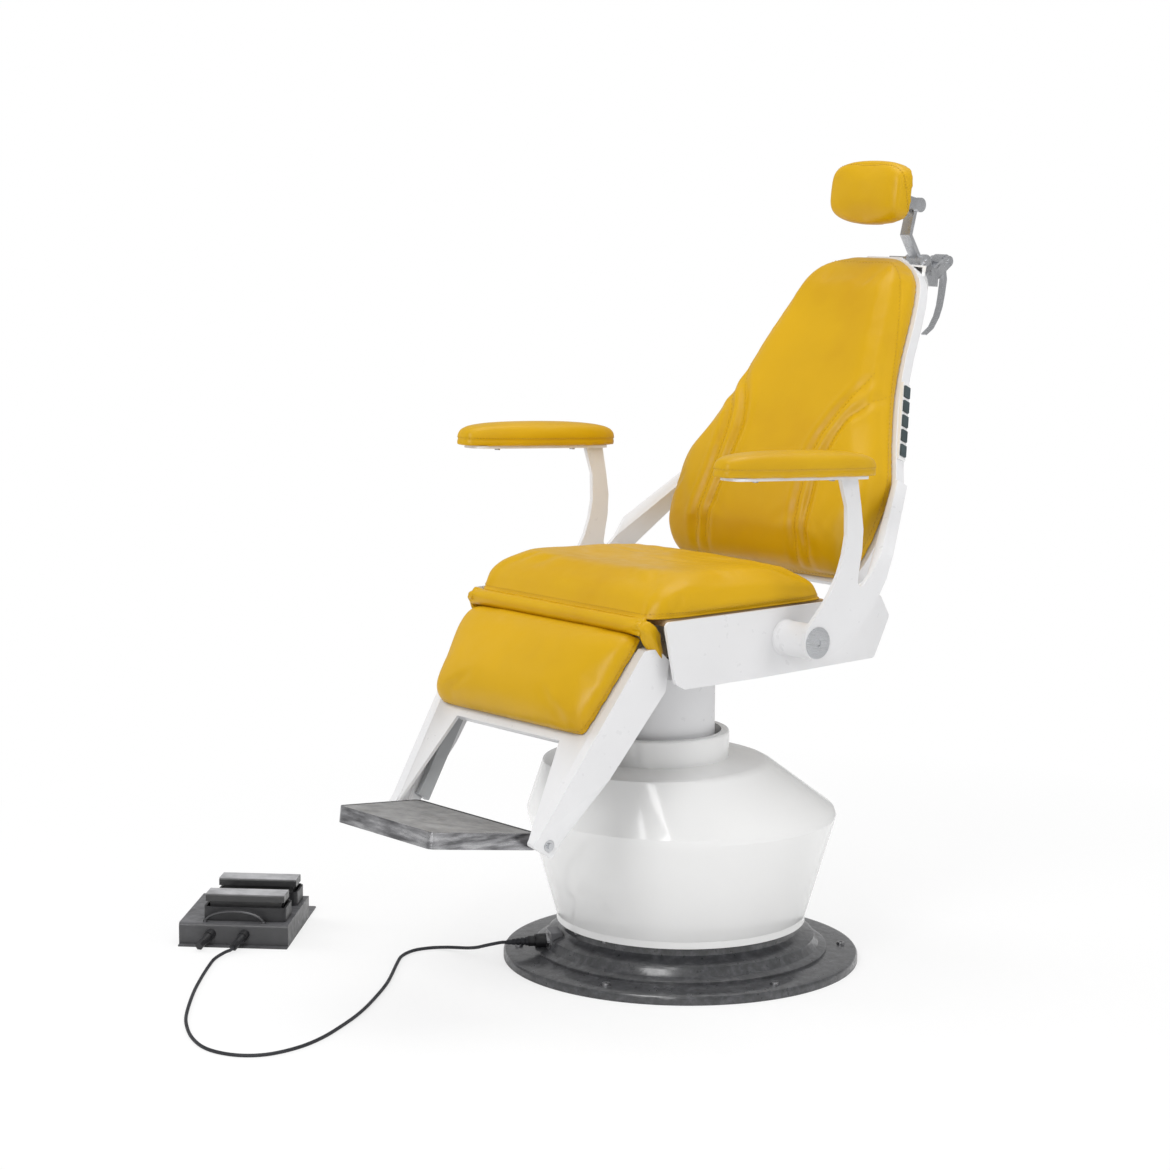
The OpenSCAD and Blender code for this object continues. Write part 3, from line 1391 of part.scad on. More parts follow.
module footrest_tray() {
    band_t = 3;
    color(steel) difference() {
        at_footrest() translate([0, 0, -footrest_h / 2]) difference() {
            linear_extrude(footrest_h) polygon(rounded(footrest_outline(0), 4 * band_t));
            translate([0, 0, footrest_h - 2 * band_t]) linear_extrude(footrest_h)
                polygon(rounded(footrest_outline(band_t), 3 * band_t));
        }
        on_leg() translate([0, bolt_at.x, bolt_at.y]) both_sides()
            rod_x(bolt_r + fit, bolt_in - over, seat_w);
    }
}

module footrest_mat() {
    band_t = 3;
    color("gray") at_footrest() translate([0, 0, footrest_h / 2 - 2 * band_t]) {
        linear_extrude(band_t) polygon(rounded(footrest_outline(band_t + gap), 3 * band_t));
    }
}

base_plate();
floor_screws();
pedestal_cover();
lift_guide();
lift_cylinder();
oil_tank();
pump_motor();
connector_block();
panel_connector();
control_plug();
strain_relief();
control_cord();
pedal_tray();
pedal_glands();
pedal_hoop();
switch_housings();
front_treadle();
rear_treadle();
column_tube();
column_head();
lift_rod();
thrust_washer();
seat_frame();
seat_board();
side_panel_left();
side_panel_right();
pivot_housings();
seat_cushion();
leg_flap();
recline_actuator();
leg_actuator();
recline_rod();
leg_rod();
recline_shaft();
side_plate_left();
side_plate_right();
pivot_caps();
back_shell();
rear_cover();
back_cushion();
key_housing();
key(1);  // key_1
key(2);  // key_2
key(3);  // key_3
key(4);  // key_4
key(5);  // key_5
arm_plates();
arm_pads();
arm_screws();
headrest_mount();
headrest_link();
clamp_lever();
headrest_hinge();
headrest_cushion();
leg_frame();
leg_cushion();
leg_rails();
leg_bolts();
footrest_tray();
footrest_mat();
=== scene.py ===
"""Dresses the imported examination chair: materials, upholstery, cord, floor, light and camera."""

import json
import math

import bmesh
import bpy
import numpy as np
from mathutils import Matrix, Vector
from mathutils.bvhtree import BVHTree

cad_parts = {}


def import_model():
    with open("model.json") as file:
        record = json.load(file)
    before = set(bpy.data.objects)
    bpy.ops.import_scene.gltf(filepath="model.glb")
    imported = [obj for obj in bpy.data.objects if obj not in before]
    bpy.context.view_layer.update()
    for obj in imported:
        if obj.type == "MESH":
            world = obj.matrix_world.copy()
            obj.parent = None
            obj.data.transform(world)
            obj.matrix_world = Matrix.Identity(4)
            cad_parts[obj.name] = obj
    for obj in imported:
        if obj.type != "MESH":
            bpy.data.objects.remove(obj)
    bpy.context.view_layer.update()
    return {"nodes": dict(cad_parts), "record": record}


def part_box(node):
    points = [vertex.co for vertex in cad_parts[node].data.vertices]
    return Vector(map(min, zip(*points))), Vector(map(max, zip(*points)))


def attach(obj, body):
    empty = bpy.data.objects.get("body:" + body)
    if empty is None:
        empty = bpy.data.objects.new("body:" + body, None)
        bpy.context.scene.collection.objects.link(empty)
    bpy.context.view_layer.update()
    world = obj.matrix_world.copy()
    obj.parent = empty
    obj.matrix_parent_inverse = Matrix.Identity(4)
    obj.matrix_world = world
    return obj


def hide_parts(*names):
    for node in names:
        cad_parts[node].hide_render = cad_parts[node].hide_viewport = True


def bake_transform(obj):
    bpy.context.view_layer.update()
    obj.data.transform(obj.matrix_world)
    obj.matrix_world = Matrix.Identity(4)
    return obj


MM = 0.001

# Camera, fitted to the photograph: metres, and pixels on its 1170 pixel square
PHOTO_PX = 1170
FOCAL_PX = 2851.4
SENSOR_MM = 36
CAMERA_AT = Vector((3.71991, -3.37449, 1.41657))
CAMERA_RIGHT = Vector((0.64503, 0.76414, 0.00472))
CAMERA_UP = Vector((-0.11449, 0.09053, 0.98929))
CAMERA_AHEAD = Vector((-0.75553, 0.63866, -0.14589))

# Linear colours
LEATHER = (0.595, 0.342, 0.0015)
LEATHER_DEEP = (0.535, 0.288, 0.001)
WHITE = (0.76, 0.76, 0.77)
COVER_WHITE = (0.84, 0.84, 0.835)
STEEL = (0.6, 0.61, 0.63)
CHROME = (0.78, 0.78, 0.79)
CASTING = (0.7, 0.71, 0.73)
IRON = (0.05, 0.051, 0.055)
BLACK = (0.017, 0.017, 0.019)

# Frames of the tilted parts: origin in metres, and their lean about X in degrees
BACK_AT = Vector((0, 0, 0.617))
BACK_LEAN = -25.3
LEG_AT = Vector((0, -0.275, 0.598))
LEG_LEAN = -34.0


def leaning(origin, degrees):
    """Matrix of a frame that leans about X."""
    return Matrix.Translation(origin) @ Matrix.Rotation(math.radians(degrees), 4, "X")


ON_BACK = leaning(BACK_AT, BACK_LEAN)
ON_LEG = leaning(LEG_AT, LEG_LEAN)


# Material helpers


class Shader:
    """A material under construction, with its Principled shader and object coordinates."""

    def __init__(self, name, base, rough, metal=0.0):
        self.material = bpy.data.materials.new(name)
        self.material.use_nodes = True
        self.material.diffuse_color = (*base, 1)
        self.tree = self.material.node_tree
        self.bsdf = self.tree.nodes["Principled BSDF"]
        self.bsdf.inputs["Base Color"].default_value = (*base, 1)
        self.bsdf.inputs["Roughness"].default_value = rough
        self.bsdf.inputs["Metallic"].default_value = metal
        self.coords = self.tree.nodes.new("ShaderNodeTexCoord").outputs["Object"]
        self.height = None

    def node(self, kind, **inputs):
        made = self.tree.nodes.new(kind)
        for key, value in inputs.items():
            self.feed(made.inputs[key.replace("_", " ")], value)
        return made

    def feed(self, socket, value):
        if isinstance(value, bpy.types.NodeSocket):
            self.tree.links.new(value, socket)
        else:
            socket.default_value = value

    def stretched(self, scale, turn=(0, 0, 0)):
        """Object coordinates, turned and then scaled by axis."""
        mapping = self.node("ShaderNodeMapping", Vector=self.coords, Scale=scale, Rotation=turn)
        return mapping.outputs["Vector"]

    def noise(self, scale, detail=3.0, rough=0.5, at=None, warp=0.0):
        made = self.node("ShaderNodeTexNoise", Vector=at or self.coords, Scale=scale, Detail=detail,
                         Roughness=rough, Distortion=warp)
        return made.outputs["Fac"]

    def cells(self, scale, feature="F1", at=None):
        made = self.node("ShaderNodeTexVoronoi", Vector=at or self.coords, Scale=scale)
        made.feature = feature
        return made.outputs["Distance"]

    def ramp(self, value, *stops):
        """Colour ramp through (position, colour) stops."""
        made = self.node("ShaderNodeValToRGB", Fac=value)
        ends = made.color_ramp.elements
        while len(ends) < len(stops):
            ends.new(0.5)
        for end, (place, colour) in zip(ends, stops):
            end.position = place
            end.color = (*colour, 1)
        return made.outputs["Color"]

    def spread(self, value, low, high, from_low=0.3, from_high=0.7):
        made = self.node("ShaderNodeMapRange", Value=value)
        made.inputs["From Min"].default_value = from_low
        made.inputs["From Max"].default_value = from_high
        made.inputs["To Min"].default_value = low
        made.inputs["To Max"].default_value = high
        return made.outputs["Result"]

    def tint(self, value, *stops):
        self.feed(self.bsdf.inputs["Base Color"], self.ramp(value, *stops))

    def roughen(self, value, low, high):
        self.feed(self.bsdf.inputs["Roughness"], self.spread(value, low, high))

    def bump(self, value, depth, strength=1.0):
        """Adds a bump of that depth in metres on top of the ones before."""
        made = self.node("ShaderNodeBump", Height=value, Strength=strength, Distance=depth)
        if self.height:
            self.feed(made.inputs["Normal"], self.height)
        self.height = made.outputs["Normal"]
        self.feed(self.bsdf.inputs["Normal"], self.height)

    def coat(self, weight, rough):
        self.bsdf.inputs["Coat Weight"].default_value = weight
        self.bsdf.inputs["Coat Roughness"].default_value = rough


def shade(colour, factor):
    return tuple(min(1.0, c * factor) for c in colour)


def leather_material():
    made = Shader("yellow_leather", LEATHER, 0.42)
    broad = made.noise(3.2, detail=4, rough=0.55)
    made.tint(broad, (0.3, LEATHER_DEEP), (0.52, LEATHER), (0.75, shade(LEATHER, 1.08)))
    made.roughen(made.noise(38, detail=4), 0.32, 0.46)
    made.bump(made.cells(720, "SMOOTH_F1"), 0.00022, 0.5)
    made.bump(made.noise(260, detail=3), 0.0002, 0.35)
    made.bump(made.noise(24, detail=2, warp=0.4), 0.0009, 0.22)
    made.bsdf.inputs["Specular IOR Level"].default_value = 0.3
    return made.material


def thread_material():
    made = Shader("seam_thread", shade(LEATHER, 0.78), 0.6)
    made.tint(made.noise(900), (0.3, shade(LEATHER, 0.6)), (0.7, shade(LEATHER, 0.95)))
    made.bump(made.noise(2600), 0.0001, 0.4)
    return made.material


def paint_material(name, colour, rough=0.32, grain=0.12):
    made = Shader(name, colour, rough)
    made.tint(made.noise(5, detail=4), (0.3, shade(colour, 0.965)), (0.7, shade(colour, 1.02)))
    made.roughen(made.noise(60, detail=3), rough - 0.05, rough + 0.07)
    made.bump(made.noise(820, detail=2), 0.00012, grain)
    made.coat(0.18, 0.18)
    return made.material


def cover_material():
    made = Shader("cover_white", COVER_WHITE, 0.16)
    made.tint(made.noise(2.4, detail=3), (0.3, shade(COVER_WHITE, 0.975)), (0.7, shade(COVER_WHITE, 1.015)))
    made.roughen(made.noise(18, detail=5), 0.1, 0.2)
    made.bump(made.noise(7, detail=1), 0.0006, 0.12)
    made.coat(0.42, 0.05)
    return made.material


def hammered_material():
    made = Shader("hammered_paint", IRON, 0.4)
    spots = made.cells(210, "SMOOTH_F1")
    made.tint(made.noise(55, detail=9, rough=0.7),
              (0.32, shade(IRON, 0.6)), (0.5, IRON), (0.7, shade(IRON, 2.0)))
    made.roughen(made.noise(90, detail=5), 0.26, 0.44)
    made.bump(spots, 0.0006, 0.3)
    made.bump(made.noise(480, detail=4), 0.0002, 0.3)
    made.coat(0.6, 0.14)
    return made.material


def brushed_material(name, colour, along, rough=0.26):
    """Bare metal with fine marks along one axis: 0 is X, 1 is Y, 2 is Z."""
    made = Shader(name, colour, rough, metal=1.0)
    scale = [900.0, 900.0, 900.0]
    scale[along] = 12.0
    marks = made.noise(1.0, detail=4, at=made.stretched(tuple(scale)))
    made.tint(made.noise(14, detail=5), (0.3, shade(colour, 0.86)), (0.7, shade(colour, 1.06)))
    made.roughen(marks, rough - 0.08, rough + 0.12)
    made.bump(marks, 0.00006, 0.35)
    return made.material


def cast_metal_material():
    made = Shader("polished_casting", CASTING, 0.28, metal=1.0)
    made.tint(made.noise(26, detail=6), (0.3, shade(CASTING, 0.78)), (0.7, shade(CASTING, 1.08)))
    made.roughen(made.noise(140, detail=5), 0.2, 0.42)
    made.bump(made.noise(520, detail=4), 0.00025, 0.3)
    return made.material


def chrome_material():
    made = Shader("chrome", CHROME, 0.1, metal=1.0)
    made.roughen(made.noise(45, detail=6), 0.05, 0.17)
    made.tint(made.noise(8, detail=4), (0.3, shade(CHROME, 0.9)), (0.7, shade(CHROME, 1.05)))
    made.bump(made.noise(30, detail=2), 0.0002, 0.08)
    return made.material


def plastic_material(name, colour, rough=0.42, grain=300):
    made = Shader(name, colour, rough)
    made.tint(made.noise(22, detail=4), (0.3, shade(colour, 0.8)), (0.7, shade(colour, 1.25)))
    made.roughen(made.noise(70, detail=4), rough - 0.07, rough + 0.1)
    made.bump(made.cells(grain * 4, "SMOOTH_F1"), 0.00012, 0.35)
    made.bump(made.noise(grain, detail=3), 0.00015, 0.2)
    return made.material


def rubber_material(name, colour):
    made = Shader(name, colour, 0.58)
    made.tint(made.noise(30, detail=5), (0.3, shade(colour, 0.75)), (0.7, shade(colour, 1.3)))
    made.roughen(made.noise(110, detail=4), 0.48, 0.7)
    made.bump(made.noise(900, detail=3), 0.0001, 0.4)
    return made.material


def enamel_material(name, colour, top=2.6):
    """Dark textured enamel, with the faces that look up painted lighter by top, a painted top light."""
    made = Shader(name, colour, 0.4)
    patches = made.noise(16, detail=7, rough=0.6)
    facing = made.node("ShaderNodeSeparateXYZ", Vector=made.node("ShaderNodeNewGeometry").outputs["Normal"])
    # Faces that look up are painted lighter, as if lit from above: a painted top light
    painted_top_light_mask = made.spread(facing.outputs["Z"], 0, 1, from_low=0.55, from_high=0.95)
    painted_top_light_mix = made.node("ShaderNodeMix")
    painted_top_light_mix.data_type = "RGBA"
    made.feed(painted_top_light_mix.inputs["Factor"], painted_top_light_mask)
    sides = made.ramp(patches, (0.35, colour), (0.62, shade(colour, 1.3)), (0.8, shade(colour, 1.9)))
    painted_top_light_colour = shade(colour, top)
    painted_top_light_ramp = made.ramp(patches, (0.3, shade(painted_top_light_colour, 0.55)), (0.55, painted_top_light_colour), (0.8, shade(painted_top_light_colour, 1.35)))
    made.feed(painted_top_light_mix.inputs["A"], sides)
    made.feed(painted_top_light_mix.inputs["B"], painted_top_light_ramp)
    made.feed(made.bsdf.inputs["Base Color"], painted_top_light_mix.outputs["Result"])
    made.roughen(made.noise(75, detail=5), 0.3, 0.55)
    made.bump(made.noise(650, detail=3), 0.00018, 0.35)
    made.coat(0.2, 0.25)
    return made.material


def plywood_material():
    made = Shader("plywood", (0.5, 0.36, 0.2), 0.62)
    grain = made.noise(1.0, detail=6, at=made.stretched((160, 9, 700)), warp=0.6)
    made.tint(grain, (0.3, (0.32, 0.2, 0.1)), (0.55, (0.52, 0.37, 0.2)), (0.8, (0.62, 0.47, 0.28)))
    made.bump(grain, 0.0002, 0.4)
    return made.material


def band_material():
    """Polished band round the footrest, duller in places, with dark and light streaks along it painted in
    as reflections.
    """
    made = Shader("edge_band", (0.27, 0.27, 0.28), 0.2, metal=1.0)
    # Streaks along the band: painted reflections in its colour, and a roughness that follows them
    rough_and_reflection_streaks = made.noise(1.0, detail=5, rough=0.6, at=made.stretched((16, 16, 90)))
    made.tint(rough_and_reflection_streaks, (0.36, (0.13, 0.13, 0.135)), (0.5, (0.27, 0.27, 0.28)), (0.68, (0.5, 0.5, 0.51)))
    made.roughen(rough_and_reflection_streaks, 0.12, 0.32)
    made.bump(made.noise(500, detail=3), 0.0001, 0.3)
    return made.material


def bronze_material():
    made = Shader("bronze", (0.5, 0.32, 0.12), 0.34, metal=1.0)
    made.tint(made.noise(60, detail=5), (0.3, (0.36, 0.22, 0.08)), (0.7, (0.56, 0.37, 0.15)))
    made.roughen(made.noise(200, detail=3), 0.25, 0.45)
    return made.material


def build_materials():
    return {
        "white_paint": paint_material("white_paint", WHITE),
        "white_cover": cover_material(),
        "floor_casting": hammered_material(),
        "inner_casting": paint_material("primer_grey", (0.16, 0.16, 0.17), 0.5, 0.3),
        "zinc_screw": brushed_material("zinc_plate", (0.42, 0.42, 0.43), 0, 0.34),
        "bright_steel": brushed_material("bright_steel", STEEL, 1),
        "chromed_rod": chrome_material(),
        "bronze_washer": bronze_material(),
        "drive_case": plastic_material("drive_case", (0.035, 0.035, 0.038), 0.48),
        "tank_paint": enamel_material("tank_paint", (0.035, 0.035, 0.04)),
        "motor_paint": enamel_material("motor_paint", (0.11, 0.11, 0.12)),
        "connector_metal": brushed_material("nickel", (0.45, 0.45, 0.46), 2, 0.38),
        "black_plastic": plastic_material("black_plastic", BLACK),
        "cord_rubber": rubber_material("cord_rubber", (0.02, 0.021, 0.026)),
        "pedal_paint": enamel_material("pedal_paint", (0.045, 0.045, 0.048)),
        # Treadle tops painted fifteen times lighter than their sides, the painted top light of
        # enamel_material
        "treadle_rubber": enamel_material("treadle_enamel", (0.03, 0.03, 0.031), top=15),
        "hoop_steel": brushed_material("hoop_steel", (0.12, 0.12, 0.125), 0, 0.34),
        "plywood": plywood_material(),
        "yellow_leather": leather_material(),
        "key_plastic": plastic_material("key_plastic", (0.045, 0.065, 0.07), 0.36),
        "cast_aluminium": cast_metal_material(),
        "grey_paint": paint_material("grey_paint", (0.4, 0.41, 0.42), 0.36),
        "tray_metal": band_material(),
        "mat_rubber": rubber_material("mat_rubber", (0.235, 0.235, 0.237)),
    }


# Mesh helpers


def new_object(name, vertices, faces, material, smooth=True):
    mesh = bpy.data.meshes.new(name)
    mesh.from_pydata([tuple(v) for v in vertices], [], faces)
    mesh.materials.append(material)
    mesh.polygons.foreach_set("use_smooth", [smooth] * len(mesh.polygons))
    made = bpy.data.objects.new(name, mesh)
    bpy.context.scene.collection.objects.link(made)
    return made


def ring_faces(rings, around, closed=True):
    """Quads between rings of equal length; closed joins each ring's last point to its first."""
    faces = []
    for k in range(rings - 1):
        for i in range(around if closed else around - 1):
            j = (i + 1) % around
            faces.append((k * around + i, k * around + j, (k + 1) * around + j, (k + 1) * around + i))
    return faces


def tube_mesh(points, radius, sides, closed=False):
    """Vertices and faces of a tube along points; radius is a number or one for each point."""
    points = [Vector(p) for p in points]
    count = len(points)
    radii = radius if isinstance(radius, (list, tuple)) else [radius] * count
    vertices = []
    side = None
    for i, point in enumerate(points):
        before = points[(i - 1) % count] if closed else points[max(i - 1, 0)]
        after = points[(i + 1) % count] if closed else points[min(i + 1, count - 1)]
        ahead = (after - before).normalized()
        side = side or ahead.orthogonal()
        side = (side - ahead * side.dot(ahead)).normalized()
        up = ahead.cross(side)
        for k in range(sides):
            turn = 2 * math.pi * k / sides
            vertices.append(point + radii[i] * (side * math.cos(turn) + up * math.sin(turn)))
    faces = ring_faces(count, sides)
    if closed:
        last = (count - 1) * sides
        # The last ring may be turned against the first, so each side joins its nearest
        shift = min(range(sides), key=lambda s: (vertices[last] - vertices[s]).length)
        faces += [(last + k, last + (k + 1) % sides, (k + 1 + shift) % sides, (k + shift) % sides)
                  for k in range(sides)]
    else:
        faces.append(tuple(range(sides))[::-1])
        faces.append(tuple(range((count - 1) * sides, count * sides)))
    return vertices, faces


def joined(parts):
    """One list of vertices and faces from several."""
    vertices, faces = [], []
    for part_vertices, part_faces in parts:
        start = len(vertices)
        vertices += part_vertices
        faces += [tuple(start + i for i in face) for face in part_faces]
    return vertices, faces


def refine_cad(node, width, join, segments=2, angle=34):
    """Rounds a CAD node's sharp edges and shades it smooth, by modifiers only.

    Points nearer than join are welded first, because one tiny edge shrinks every rounding.
    """
    node.data.polygons.foreach_set("use_smooth", [True] * len(node.data.polygons))
    weld = node.modifiers.new("weld", "WELD")
    weld.merge_threshold = join
    bevel = node.modifiers.new("edges", "BEVEL")
    bevel.width = width
    bevel.segments = segments
    bevel.limit_method = "ANGLE"
    bevel.angle_limit = math.radians(angle)
    bevel.use_clamp_overlap = True
    level = node.modifiers.new("level", "WEIGHTED_NORMAL")
    level.mode = "FACE_AREA"
    level.weight = 80
    level.keep_sharp = True


def coordinates(mesh):
    values = np.empty(len(mesh.vertices) * 3, np.float32)
    mesh.vertices.foreach_get("co", values)
    return values.reshape(-1, 3).astype(float)


def normals(mesh):
    values = np.empty(len(mesh.vertices) * 3, np.float32)
    mesh.vertex_normals.foreach_get("vector", values)
    return values.reshape(-1, 3).astype(float)


def set_coordinates(mesh, values):
    mesh.vertices.foreach_set("co", values.astype(np.float32).ravel())
    mesh.update()


def in_frame(matrix, points):
    """World points as seen in a frame."""
    inverse = np.array(matrix.inverted())
    return points @ inverse[:3, :3].T + inverse[:3, 3]


def apply_modifiers(piece):
    """Replaces the mesh by what its modifiers make of it."""
    graph = bpy.context.evaluated_depsgraph_get()
    made = bpy.data.meshes.new_from_object(piece.evaluated_get(graph), depsgraph=graph)
    piece.modifiers.clear()
    piece.data = made


def relax(piece, factor, steps, held=None):
    """Smooths the piece, all of it or all but the held vertices."""
    smooth = piece.modifiers.new("relax", "SMOOTH")
    smooth.factor = factor
    smooth.iterations = steps
    if held is not None:
        group = piece.vertex_groups.new(name="free")
        group.add([int(i) for i in np.flatnonzero(~held)], 1.0, "REPLACE")
        smooth.vertex_group = "free"
    apply_modifiers(piece)
    piece.vertex_groups.clear()


def puff(piece, held, pressure, cap, steps=20):
    """Inflates the piece as cloth. held says which vertices stay; none moves further than cap."""
    before = coordinates(piece.data)
    group = piece.vertex_groups.new(name="held")
    group.add([int(i) for i in np.flatnonzero(held)], 1.0, "REPLACE")
    cloth = piece.modifiers.new("cloth", "CLOTH")
    cloth.settings.quality = 5
    cloth.settings.mass = 0.35
    cloth.settings.tension_stiffness = 25
    cloth.settings.compression_stiffness = 12
    cloth.settings.bending_stiffness = 2.5
    cloth.settings.use_pressure = True
    cloth.settings.uniform_pressure_force = pressure
    cloth.settings.vertex_group_mass = "held"
    cloth.settings.effector_weights.gravity = 0
    cloth.collision_settings.use_collision = False
    scene = bpy.context.scene
    for frame_number in range(1, steps + 1):
        scene.frame_set(frame_number)
    apply_modifiers(piece)
    scene.frame_set(1)
    moved = coordinates(piece.data) - before
    far = np.linalg.norm(moved, axis=1)
    moved *= np.minimum(1, cap / np.maximum(far, 1e-9))[:, None]
    set_coordinates(piece.data, before + moved)
    piece.vertex_groups.clear()


def soft_copy(node, name, voxel, material, held, pressure, cap, shrink, soften=8):
    """A cushion from its CAD solid: remeshed, its edges softened, inflated and smoothed."""
    mesh = node.data.copy()
    piece = bpy.data.objects.new(name, mesh)
    bpy.context.scene.collection.objects.link(piece)
    mesh.materials.clear()
    weld = piece.modifiers.new("weld", "WELD")
    weld.merge_threshold = 0.00002
    remesh = piece.modifiers.new("remesh", "REMESH")
    remesh.mode = "VOXEL"
    remesh.voxel_size = voxel
    apply_modifiers(piece)
    relax(piece, 0.5, 4)
    stays = held(coordinates(piece.data), normals(piece.data))
    relax(piece, 0.6, soften, stays)
    points, outward = coordinates(piece.data), normals(piece.data)
    set_coordinates(piece.data, points - outward * shrink * ~stays[:, None])
    puff(piece, stays, pressure, cap)
    relax(piece, 0.5, 4 + soften // 3, stays)
    subdivide = piece.modifiers.new("subdivide", "SUBSURF")
    subdivide.levels = 1
    subdivide.render_levels = 1
    apply_modifiers(piece)
    piece.data.materials.append(material)
    piece.data.polygons.foreach_set("use_smooth", [True] * len(piece.data.polygons))
    return piece


def nearest_on_line(points, line):
    """Distance from each point to a polyline, and how far along it the nearest place is, 0 to 1."""
    best = np.full(len(points), 1e9)
    share = np.zeros(len(points))
    lengths = np.linalg.norm(np.diff(line, axis=0), axis=1)
    total, run = lengths.sum(), 0.0
    for start, end, length in zip(line[:-1], line[1:], lengths):
        way = (end - start) / max(length, 1e-9)
        reach = np.clip((points - start) @ way, 0, length)
        gap = np.linalg.norm(points - start - reach[:, None] * way, axis=1)
        closer = gap < best
        best[closer] = gap[closer]
        share[closer] = (run + reach[closer]) / total
        run += length
    return best, share


def dent(piece, line, width, depth, fade=0.15, ridge=0.0, within=None):
    """Presses a groove along a line, or raises a fold with a negative depth."""
    points, outward = coordinates(piece.data), normals(piece.data)
    gap, share = nearest_on_line(points, np.array([tuple(p) for p in line], float))
    ends = np.clip(np.minimum(share, 1 - share) / max(fade, 1e-6), 0, 1) if fade else 1.0
    ends = np.sin(ends * math.pi / 2)
    push = -depth * np.exp(-((gap / width) ** 2))
    push += ridge * np.exp(-(((gap - 2.1 * width) / (0.9 * width)) ** 2))
    push = push * ends
    if within is not None:
        push = push * within(points, outward)
    set_coordinates(piece.data, points + outward * push[:, None])


def cut_loop(piece, plane_at, plane_normal, spacing):
    """Longest closed loop where a plane cuts the piece, as evenly spaced points."""
    work = bmesh.new()
    work.from_mesh(piece.data)
    cut = bmesh.ops.bisect_plane(work, geom=work.verts[:] + work.edges[:] + work.faces[:],
                                 plane_co=plane_at, plane_no=plane_normal)
    edges = {e for e in cut["geom_cut"] if isinstance(e, bmesh.types.BMEdge)}
    loops = []
    while edges:
        edge = edges.pop()
        chain = [edge.verts[0], edge.verts[1]]
        while True:
            step = next((e for e in chain[-1].link_edges if e in edges), None)
            if step is None:
                break
            edges.remove(step)
            chain.append(step.other_vert(chain[-1]))
        loops.append([v.co.copy() for v in chain])
    work.free()
    loop = max(loops, key=lambda c: sum((a - b).length for a, b in zip(c, c[1:])))
    line = np.array([tuple(p) for p in loop])
    steps = np.linalg.norm(np.diff(line, axis=0), axis=1)
    along = np.concatenate([[0], np.cumsum(steps)])
    count = max(8, int(round(along[-1] / spacing)))
    places = np.linspace(0, along[-1], count, endpoint=False)
    return [Vector([np.interp(p, along, line[:, k]) for k in range(3)]) for p in places]


def stitches(name, piece, loop, offset, material, pitch=0.006, thread=0.00045, side=None):
    """A row of thread stitches on the piece beside a closed loop or line."""
    tree = BVHTree.FromObject(piece, bpy.context.evaluated_depsgraph_get())
    parts = []
    run = 0.0
    for before, point in zip(loop, loop[1:]):
        run += (point - before).length
        if run < pitch:
            continue
        run = 0.0
        ahead = (point - before).normalized()
        spot, outward, _, _ = tree.find_nearest(point)
        across = side.normalized() if side else ahead.cross(outward).normalized()
        spot, outward, _, _ = tree.find_nearest(point + across * offset)
        if spot is None:
            continue
        ahead = (ahead - outward * ahead.dot(outward)).normalized()
        half = pitch * 0.34
        bow = thread * 0.9
        line = [spot - ahead * half - outward * thread, spot - ahead * half * 0.5 + outward * bow,
                spot + ahead * half * 0.5 + outward * bow, spot + ahead * half - outward * thread]
        parts.append(tube_mesh(line, [thread * 0.7, thread, thread, thread * 0.7], 5))
    return new_object(name, *joined(parts), material)


def piping(name, loop, radius, material, closed=True):
    return new_object(name, *tube_mesh(loop, radius, 10, closed), material)


def rides(body, *pieces, slot="yellow_leather"):
    for piece in pieces:
        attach(piece, body)


# Upholstery


# Folds of the seat: three places in X and Y in metres, then width and depth in millimetres
SEAT_FOLDS = (
    ((-0.16, 0.045), (-0.09, 0.02), (-0.015, 0.035), 6.5, 2.1),
    ((-0.12, 0.075), (-0.03, 0.055), (0.05, 0.075), 6, 1.8),
    ((0.02, 0.0), (0.09, 0.025), (0.17, 0.015), 7, 2.0),
    ((0.1, 0.055), (0.16, 0.045), (0.215, 0.06), 5.5, 1.7),
    ((-0.2, -0.01), (-0.14, -0.035), (-0.06, -0.03), 8, 1.5),
    ((0.05, 0.09), (0.1, 0.075), (0.14, 0.085), 5, 1.6),
    ((-0.05, -0.05), (0.03, -0.06), (0.1, -0.045), 9, 1.2))


